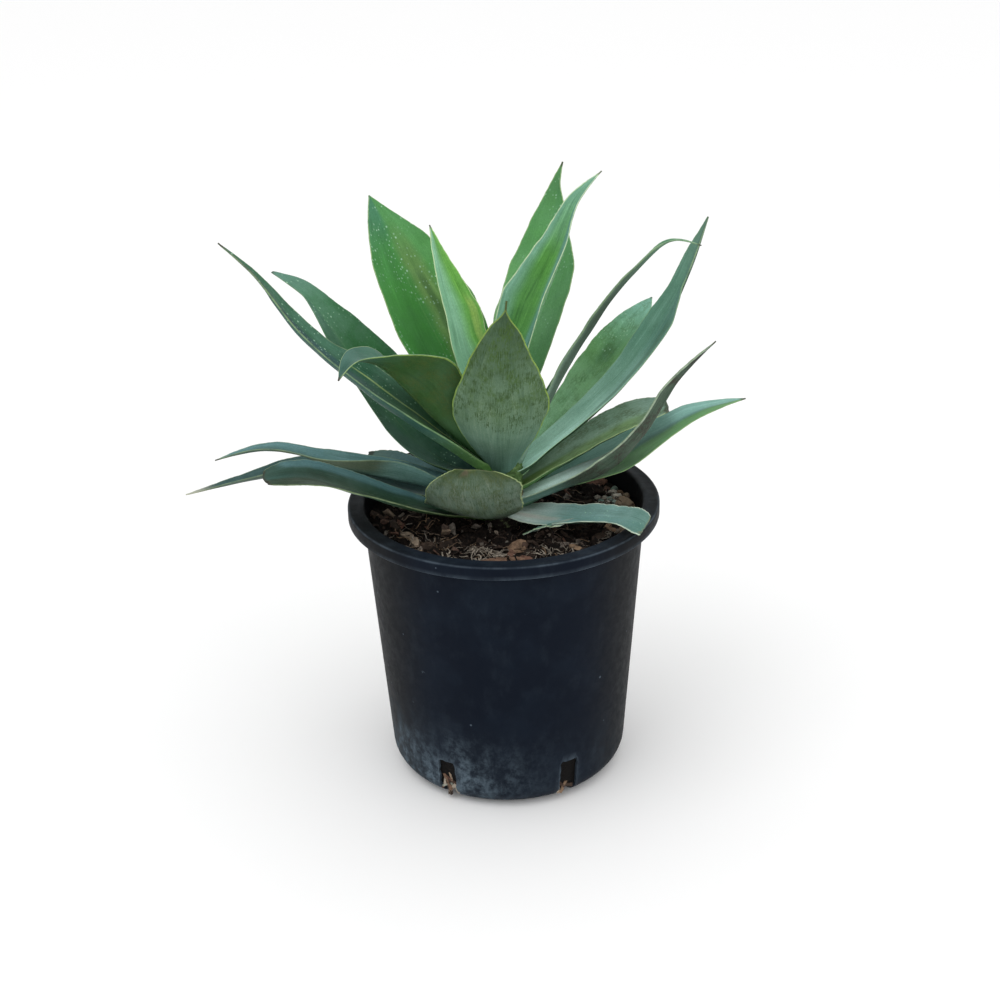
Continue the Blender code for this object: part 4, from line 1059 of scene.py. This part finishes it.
def scatterGroup(kind):
    inputs = dict(Surface="Geometry", Density="Float", Smallest="Float", Largest="Float", Sink="Float",
                  Tilt="Float", Seed="Int", Finish="Material")
    outputs = dict(Geometry="Geometry")
    tree, given, out = newGroup("scatter " + kind["form"], inputs, outputs, "GeometryNodeTree")
    seed, tilt = given["Seed"], given["Tilt"]
    lean = times(tilt, -1.0)
    turn = randomValue(xyz(lean, lean, 0.0), xyz(tilt, tilt, math.tau), seed, "FLOAT_VECTOR")
    length = randomValue(given["Smallest"], given["Largest"], plus(seed, 1.0))
    across = times(length, randomValue(*kind["slender"], plus(seed, 2.0)))
    shade = randomValue(0.0, 1.0, plus(seed, 3.0))
    unit, size = unitForm(tree, kind, length, across)
    points = wired("GeometryNodeDistributePointsOnFaces",
                   {"Mesh": given["Surface"], "Density": given["Density"], "Seed": seed}).outputs[0]
    copies = wired("GeometryNodeInstanceOnPoints",
                   {"Points": points, "Instance": unit, "Rotation": turn, "Scale": size}).outputs[0]
    copies = wired("GeometryNodeStoreNamedAttribute", {"Geometry": copies, "Name": "shade", "Value": shade},
                   domain="INSTANCE", data_type="FLOAT").outputs[0]
    raised = xyz(0.0, 0.0, times(given["Sink"], -1.0))
    copies = wired("GeometryNodeTranslateInstances",
                   {"Instances": copies, "Translation": raised, "Local Space": False}).outputs[0]
    solid = wired("GeometryNodeRealizeInstances", {0: copies}).outputs[0]
    reach, scale = kind["crook"]
    bend = add(tree, "ShaderNodeTexNoise", {"Scale": scale, "Detail": 2.0}).outputs["Color"]
    bend = wired("ShaderNodeVectorMath", {0: bend, 1: (0.5, 0.5, 0.42)}, operation="SUBTRACT").outputs[0]
    bend = scaled(bend, (reach, reach, reach))
    solid = wired("GeometryNodeSetPosition", {"Geometry": solid, "Offset": bend}).outputs[0]
    if kind["form"] == "fibre":
        rim = add(tree, "GeometryNodeCurvePrimitiveCircle",
                  {"Resolution": kind["corners"], "Radius": kind["radius"]})
        solid = wired("GeometryNodeCurveToMesh",
                      {"Curve": solid, "Profile Curve": rim.outputs[0], "Fill Caps": True}).outputs[0]
    dressed = wired("GeometryNodeSetMaterial", {"Geometry": solid, "Material": given["Finish"]})
    feed(out["Geometry"], dressed.outputs[0])
    return tree


def scatterHost():
    # the open part of the soil's surface, clear of the wall and the stem
    rings, turns, margin = soilForm["hostRings"], soilForm["hostTurns"], soilForm["hostMargin"]
    inner, outer = soilForm["stemHole"] + margin, wallRadius(soilForm["level"], potForm["wall"]) - margin
    points = []
    for i in range(rings + 1):
        out = inner + (outer - inner) * i / rings
        for j in range(turns):
            x, y = out * math.cos(math.tau * j / turns), out * math.sin(math.tau * j / turns)
            points.append((x * mm, y * mm, crumbHeight(x, y) * mm))
    pairs = [(i * turns, j, (j + 1) % turns) for i in range(rings) for j in range(turns)]
    faces = [(ring + j, ring + turns + j, ring + turns + after, ring + after) for ring, j, after in pairs]
    host = bpy.data.meshes.new("scatterHost")
    host.from_pydata(points, [], faces)
    return host


def makeBits():
    host = scatterHost()
    for name, kind in bitKinds.items():
        tree = scatterGroup(kind)
        skin = earthMaterial(name + " finish", 0.9, 0.5, kind["shades"], grain=500.0)
        piece = newPiece(name, host.copy())
        scatter = piece.modifiers.new("scatter", "NODES")
        scatter.node_group = tree
        for label, value in (kind["inputs"] | dict(Finish=skin)).items():
            scatter[tree.interface.items_tree[label].identifier] = value
        mesh = applied(piece)
        if not mesh.materials:
            mesh.materials.append(skin)
        mesh.shade_smooth() if kind["form"] == "fibre" else mesh.shade_flat()
        finish(piece, "soil")
        print(name + ":", len(mesh.polygons), "faces")
    bpy.data.meshes.remove(host)


# Laid one by one, in mm and degrees. shade picks a colour between dark (0) and pale (1).
barkChips = [  # x, y, length, width, thick, turn, lean, shade
    (-1, -66, 27, 5, 3, 4, 8, 0.54), (13, -61, 10, 4, 3, -25, 30, 0.5), (8, -44, 12, 8, 7, 25, 35, 0.58),
    (12, -42, 7, 5, 5, 60, 20, 0.4), (4, -51, 8, 4, 3, 70, 20, 0.5), (70, -18, 15, 5, 3, 40, 20, 0.62),
    (75, -24, 17, 4, 3, 62, 15, 0.66), (66, -27, 12, 4, 3, 35, 30, 0.6), (60, -34, 10, 5, 3, 10, 20, 0.3),
    (-61, -29, 11, 5, 4, -50, 10, 0.68), (-56, -38, 10, 4, 3, -78, 10, 0.68),
    (-70, -12, 14, 5, 3, -70, 20, 0.24), (-48, -42, 11, 5, 3, 20, 25, 0.28),
    (-30, -50, 13, 4, 3, -15, 15, 0.12), (-36, -38, 12, 4, 3, 35, 40, 0.18),
    (-75, 6, 14, 5, 4, 80, 25, 0.2), (30, -58, 11, 3, 2, 30, 25, 0.62), (44, -50, 10, 3, 2, -40, 35, 0.62),
    (-10, -72, 12, 6, 4, 0, 20, 0.36), (74, 4, 15, 9, 5, 20, 30, 0.45), (62, 50, 14, 9, 6, 30, 20, 0.5),
    (78, 14, 12, 8, 5, -30, 20, 0.66), (0, 60, 18, 9, 5, 10, 20, 0.4), (-45, 55, 16, 8, 5, 50, 20, 0.62),
    (30, 72, 14, 8, 5, -20, 25, 0.34), (-20, 74, 12, 7, 4, 60, 20, 0.72)]
pebbles = [  # x, y, radius, shade
    (75, 24, 3.2, 1.0), (79, 20, 2.8, 1.0), (72, 31, 3.0, 1.0), (81, 27, 2.6, 0.66), (70, 22, 2.4, 0.9),
    (77, 33, 2.6, 0.62), (67, 29, 2.2, 1.0), (83, 14, 2.6, 0.62), (74, 40, 2.4, 0.9), (68, 17, 2.2, 1.0),
    (64, 22, 2.0, 0.88), (73, 15, 2.2, 0.9), (78, 9, 2.0, 1.0), (62, 30, 2.0, 1.0), (-66, 38, 2.8, 0.9),
    (-12, 66, 2.6, 1.0)]
slotLitter = [  # azimuth, z, length, width, turn, shade: what has washed down to two of the slots
    (238, 13, 12, 2.4, 25, 0.55), (241, 10, 11, 2.0, -35, 0.74), (239, 16, 9, 1.7, 60, 0.5),
    (236.5, 14, 8, 1.5, -10, 0.74), (241.5, 14, 8, 2.2, 80, 0.4), (238.5, 8, 10, 3.0, 5, 0.36),
    (240, 18, 7, 1.4, 15, 0.66), (237, 10, 8, 1.4, -60, 0.8), (239.5, 9, 9, 1.2, -15, 0.8),
    (242.5, 9, 7, 1.4, 30, 0.76), (235.8, 9, 7, 1.6, -40, 0.5), (297, 9, 9, 2.4, -30, 0.6),
    (295.5, 12, 8, 1.8, 40, 0.4), (300, 9, 7, 2.2, 70, 0.36), (294.5, 8, 6, 1.8, 0, 0.7)]
chipForm = dict(seed=5, cuts=4, rounding=0.5, bumps=((0.22, 0.16, 0), (0.11, 0.6, 40)), raised=0.32)
litterForm = dict(cuts=3, thick=0.4, bump=(0.3, 0.5, 90), behind=2.4)
pebbleForm = dict(flat=(1, 0.8, 0.7, 1), bump=(0.5, 0.3, 0), raised=0.5)


def block(size, cuts, rounding=0.0):
    # a finely cut cube, slimmer towards its ends
    form = bmesh.new()
    bmesh.ops.create_cube(form, size=1)
    bmesh.ops.subdivide_edges(form, edges=form.edges, cuts=cuts, use_grid_fill=True)
    for vertex in form.verts:
        x, y, z = vertex.co
        slim = 1 - rounding * abs(2 * x) ** 4
        vertex.co = Vector((x * size[0], y * size[1] * slim, z * size[2] * slim)) * mm
    return form


def wiggled(form, size, bump, number):
    # bump: (share of the size, fineness, what is added to the number so that no two are alike)
    reach, fineness, seed = bump[0] * size * mm, bump[1] / mm, number + bump[2]
    for vertex in form.verts:
        vertex.co += reach * Vector(lumps.noise_vector(vertex.co * fineness + Vector((seed * 3.7, seed, 0))))


def lay(whole, part, place, shade):
    # whole takes up the part, turned and moved, and every point of it gets the shade
    bmesh.ops.transform(part, matrix=place, verts=part.verts)
    layer = part.verts.layers.float.new("shade")
    for vertex in part.verts:
        vertex[layer] = shade
    mesh = meshFrom(part, "part")
    whole.from_mesh(mesh)
    bpy.data.meshes.remove(mesh)


def turnedBy(degrees, axis):
    return Matrix.Rotation(math.radians(degrees), 4, axis)


def makeChips():
    lumps.seed_set(chipForm["seed"])
    whole = bmesh.new()
    for number, (x, y, long, wide, thick, turn, lean, shade) in enumerate(barkChips):
        part = block((long, wide, thick), chipForm["cuts"], chipForm["rounding"])
        for bump in chipForm["bumps"]:
            wiggled(part, wide, bump, number)
        place = Vector((x, y, soilHeight(x, y) + chipForm["raised"] * thick)) * mm
        lay(whole, part, Matrix.Translation(place) @ turnedBy(turn, "Z") @ turnedBy(lean, "X"), shade)
    for number, (azimuth, z, long, wide, turn, shade) in enumerate(slotLitter):
        part = block((long, wide, litterForm["thick"] * wide), litterForm["cuts"])
        wiggled(part, wide, litterForm["bump"], number)
        place = Vector((wallRadius(z) - litterForm["behind"], 0, z)) * mm
        place = turnedBy(azimuth, "Z") @ Matrix.Translation(place) @ turnedBy(90, "Y") @ turnedBy(turn, "Z")
        lay(whole, part, place, shade)
    for number, (x, y, size, shade) in enumerate(pebbles):
        part = bmesh.new()
        flat = Matrix.Diagonal(pebbleForm["flat"])
        bmesh.ops.create_icosphere(part, subdivisions=2, radius=size * mm, matrix=flat)
        wiggled(part, size, pebbleForm["bump"], number)
        place = Vector((x, y, soilHeight(x, y) + pebbleForm["raised"] * size)) * mm
        lay(whole, part, Matrix.Translation(place), shade)
    mesh = meshFrom(whole, "bark_chips")
    smooth(mesh, 50)
    shades = ("dark", "earth", "brown", "brown", "red", "tan", "pale", "teal", "chalk")
    mesh.materials.append(earthMaterial("chip bark", 0.9, 0.8, shades, grain=260.0))
    finish(newPiece("bark_chips", mesh), "soil")
    print("chips:", len(barkChips) + len(slotLitter) + len(pebbles))


fibreClumps = [  # x, y, spread, strands, thickness, shade
    (-17, -49, 8, 34, 0.5, 0.95), (-10, -60, 6, 24, 0.45, 0.9), (-24, -42, 8, 8, 0.4, 0.5),
    (28, -52, 8, 16, 0.5, 0.85), (38, -54, 6, 10, 0.45, 0.95), (-41, -35, 9, 16, 0.45, 0.55),
    (-50, -32, 8, 8, 0.5, 0.6), (-66, -14, 9, 10, 0.45, 0.5), (58, -44, 7, 8, 0.45, 0.75),
    (-34, -56, 5, 8, 0.5, 0.95), (66, 24, 9, 6, 0.4, 0.8), (-50, 36, 12, 7, 0.4, 0.6),
    (10, 62, 12, 8, 0.4, 0.7), (16, -60, 6, 8, 0.42, 0.7), (-4, -52, 6, 12, 0.45, 0.85),
    (-56, -20, 9, 12, 0.45, 0.5), (-38, -46, 7, 8, 0.45, 0.55), (66, -32, 8, 9, 0.5, 0.75),
    (70, 8, 12, 10, 0.4, 0.7), (0, -48, 26, 8, 0.4, 0.5), (0, 20, 60, 50, 0.4, 0.5)]
strandForm = dict(seed=17, steps=(5, 11), stride=1.15, bend=0.35, curl=0.25, lift=(-0.2, 0.7), sag=0.09,
                  start=(0.2, 2.2), jitter=(-0.5, 0.45), clear=0.6, limit=76, girth=(0.6, 1.15),
                  thinning=0.6, corners=(0.5, 2.6, 4.7), shadeRange=(0.05, 0.98), shadeJitter=(-0.2, 0.1))


def strandPath(draw, x, y, reach):
    f = strandForm
    x, y = x + draw.gauss(0, reach / 2), y + draw.gauss(0, reach / 2)
    heading, curl = draw.uniform(0, math.tau), draw.uniform(-f["curl"], f["curl"])
    lift, rise = draw.uniform(*f["lift"]), draw.uniform(*f["start"])
    path = []
    for _ in range(draw.randint(*f["steps"])):
        inward = f["limit"] / max(f["limit"], math.hypot(x, y))
        x, y = x * inward, y * inward
        path.append((x, y, soilHeight(x, y) + f["clear"] + max(0, rise)))
        heading += curl + draw.uniform(-f["bend"], f["bend"])
        rise += lift / 2 + draw.uniform(*f["jitter"])
        lift -= f["sag"]
        x, y = x + f["stride"] * math.cos(heading), y + f["stride"] * math.sin(heading)
    return np.array(path)


def makeStrands():
    draw, f = random.Random(strandForm["seed"]), strandForm
    points, faces, shades = [], [], []
    for x, y, reach, count, thick, shade in fibreClumps:
        for _ in range(count):
            path = strandPath(draw, x, y, reach)
            ahead = np.gradient(path, axis=0)
            ahead /= np.linalg.norm(ahead, axis=1)[:, None]
            side = np.cross(ahead, (0, 0, 1.0))
            side /= np.maximum(np.linalg.norm(side, axis=1), 0.001)[:, None]
            above = np.cross(side, ahead)
            thinner = 1 - f["thinning"] * np.linspace(0, 1, len(path)) ** 2
            size = thick * draw.uniform(*f["girth"]) * thinner[:, None]
            corners = [path + size * (side * math.cos(a) + above * math.sin(a)) for a in f["corners"]]
            faces += tubeFaces(len(path), len(corners), len(points))
            points.extend(point for ring in zip(*corners) for point in ring)
            least, most = f["shadeRange"]
            shaded = min(most, max(least, shade + draw.uniform(*f["shadeJitter"])))
            shades += [shaded] * (len(corners) * len(path))
    mesh = builtMesh("root_tangles", points, faces, shade=shades)
    strandShades = ("earth", "brown", "tan", "grey", "pale", "pale")
    mesh.materials.append(earthMaterial("dry roots", 0.85, 0.2, strandShades, grain=700.0))
    finish(newPiece("root_tangles", mesh), "soil")
    print("strands:", len(mesh.polygons), "faces")


# the short stem, ringed by the scars of old leaves
stemForm = dict(radius=12.8, topRadius=5.3, foot=140.0, shoulder=208.0, top=238.0, turns=120, levels=110,
                core=3, ringGap=4.2, ringSlope=2.5, slopeScale=0.09, scarDepth=0.9, pitDepth=0.5,
                pitScale=0.5)
stemLook = dict(darkFootAndShade=tone(30, 24, 21), papery=tone(168, 146, 124), green=tone(84, 112, 64),
                pale=tone(176, 196, 140))


def stemMaterial():
    made, tree, shader = newMaterial("stem skin")
    place = objectPlace(tree)
    grain = noise(place, 320.0, 5.0, 0.65)
    height = plus(split(place)[2], times(noise(place, 90.0), 0.012))
    # the stem's foot is dark brown: its own colour where buried, and up to 184 mm above the soil a painted
    # shade under the lowest leaves
    colour = blend(step(height, 0.184, 0.19), stemLook["darkFootAndShade"], stemLook["papery"])
    colour = blend(step(height, 0.193, 0.201), colour, stemLook["green"])
    colour = blend(step(grain, 0.5, 0.75, 0.0, 0.5), colour, stemLook["pale"])
    colour = tint(step(grain, 0.48, 0.28, 0.0, 0.75), colour, 0.4, 0.38, 0.34)
    dress(shader, colour, 0.75, grain, 0.5)
    return made


def makeStem():
    f = stemForm
    heights = [f["foot"] + (f["top"] - f["foot"]) * i / f["levels"] for i in range(f["levels"] + 1)]
    radii = np.interp(heights, (f["shoulder"], f["top"]), (f["radius"], f["topRadius"]))
    stem = turned("scarred_stem", [(0, f["foot"]), *zip(radii, heights), (0, f["top"])], f["turns"])
    for vertex in stem.data.vertices:
        x, y, z = vertex.co
        out = math.hypot(x, y) / mm
        if out > f["core"]:
            slope = lumps.noise(Vector((x, y, 0)) / mm * f["slopeScale"])
            ring = ((z / mm + f["ringSlope"] * slope) / f["ringGap"]) % 1
            pits = f["pitDepth"] * abs(lumps.noise(vertex.co / mm * f["pitScale"]))
            keep = 1 - (f["scarDepth"] * (1 - ring) ** 2 + pits) / out
            vertex.co.x, vertex.co.y = x * keep, y * keep
    smooth(stem.data, 60)
    stem.data.materials.append(stemMaterial())
    finish(stem, "stem", "stem")
    print("stem:", len(stem.data.polygons), "faces")


# The rolled bud. girth: (place along, share of the radius). lap: how far each turn of the roll stands out.
budForm = dict(foot=238.4, tip=301.8, radius=4.3, turns=64, levels=70, twist=1.1, lap=0.16, halfWidth=6,
               rim=12, girth=((0, 0.8), (0.12, 0.96), (0.3, 1), (0.5, 0.82), (0.7, 0.55), (0.87, 0.27),
                              (0.97, 0.09), (1, 0.02)))
budLook = dict(root=(150, 190, 120), body=(112, 164, 96), tip=(96, 140, 96), streaks=0.5,
               margin=(190, 212, 160), marginWidth=0.9, marginShare=0.8, endFrom=0.955)


def makeBud():
    f = budForm
    points, blade, bladeMm = [], [], []
    height = f["tip"] - f["foot"]
    for i in range(f["levels"] + 1):
        s = i / f["levels"]
        girth = f["radius"] * np.interp(s, *zip(*f["girth"]))
        for j in range(f["turns"]):
            part = j / f["turns"]
            lapped = (part + f["twist"] * s) % 1
            out, across, turn = girth * (1 - f["lap"] * lapped), 2 * lapped - 1, math.tau * part
            points.append((out * math.cos(turn), out * math.sin(turn), f["foot"] + height * s))
            blade.append((across, s, 1.0))
            bladeMm.append((f["halfWidth"] * across, height * s, f["rim"] * min(lapped, 1 - lapped)))
    faces = tubeFaces(f["levels"] + 1, f["turns"])
    mesh = builtMesh("rolled_bud", points, faces, blade=blade, bladeMm=bladeMm)
    smooth(mesh, 50)
    mesh.materials.append(leafMaterial("bud skin", budLook, budLook))
    finish(newPiece("rolled_bud", mesh), "bud", "bud")
    print("bud:", len(mesh.polygons), "faces")


leafFace = leafFaceGroup()
earthGrain = earthGroup()
makeStudio()
makeLeaves()
makePot()
makeSoil()
makeBits()
makeChips()
makeStrands()
makeStem()
makeBud()
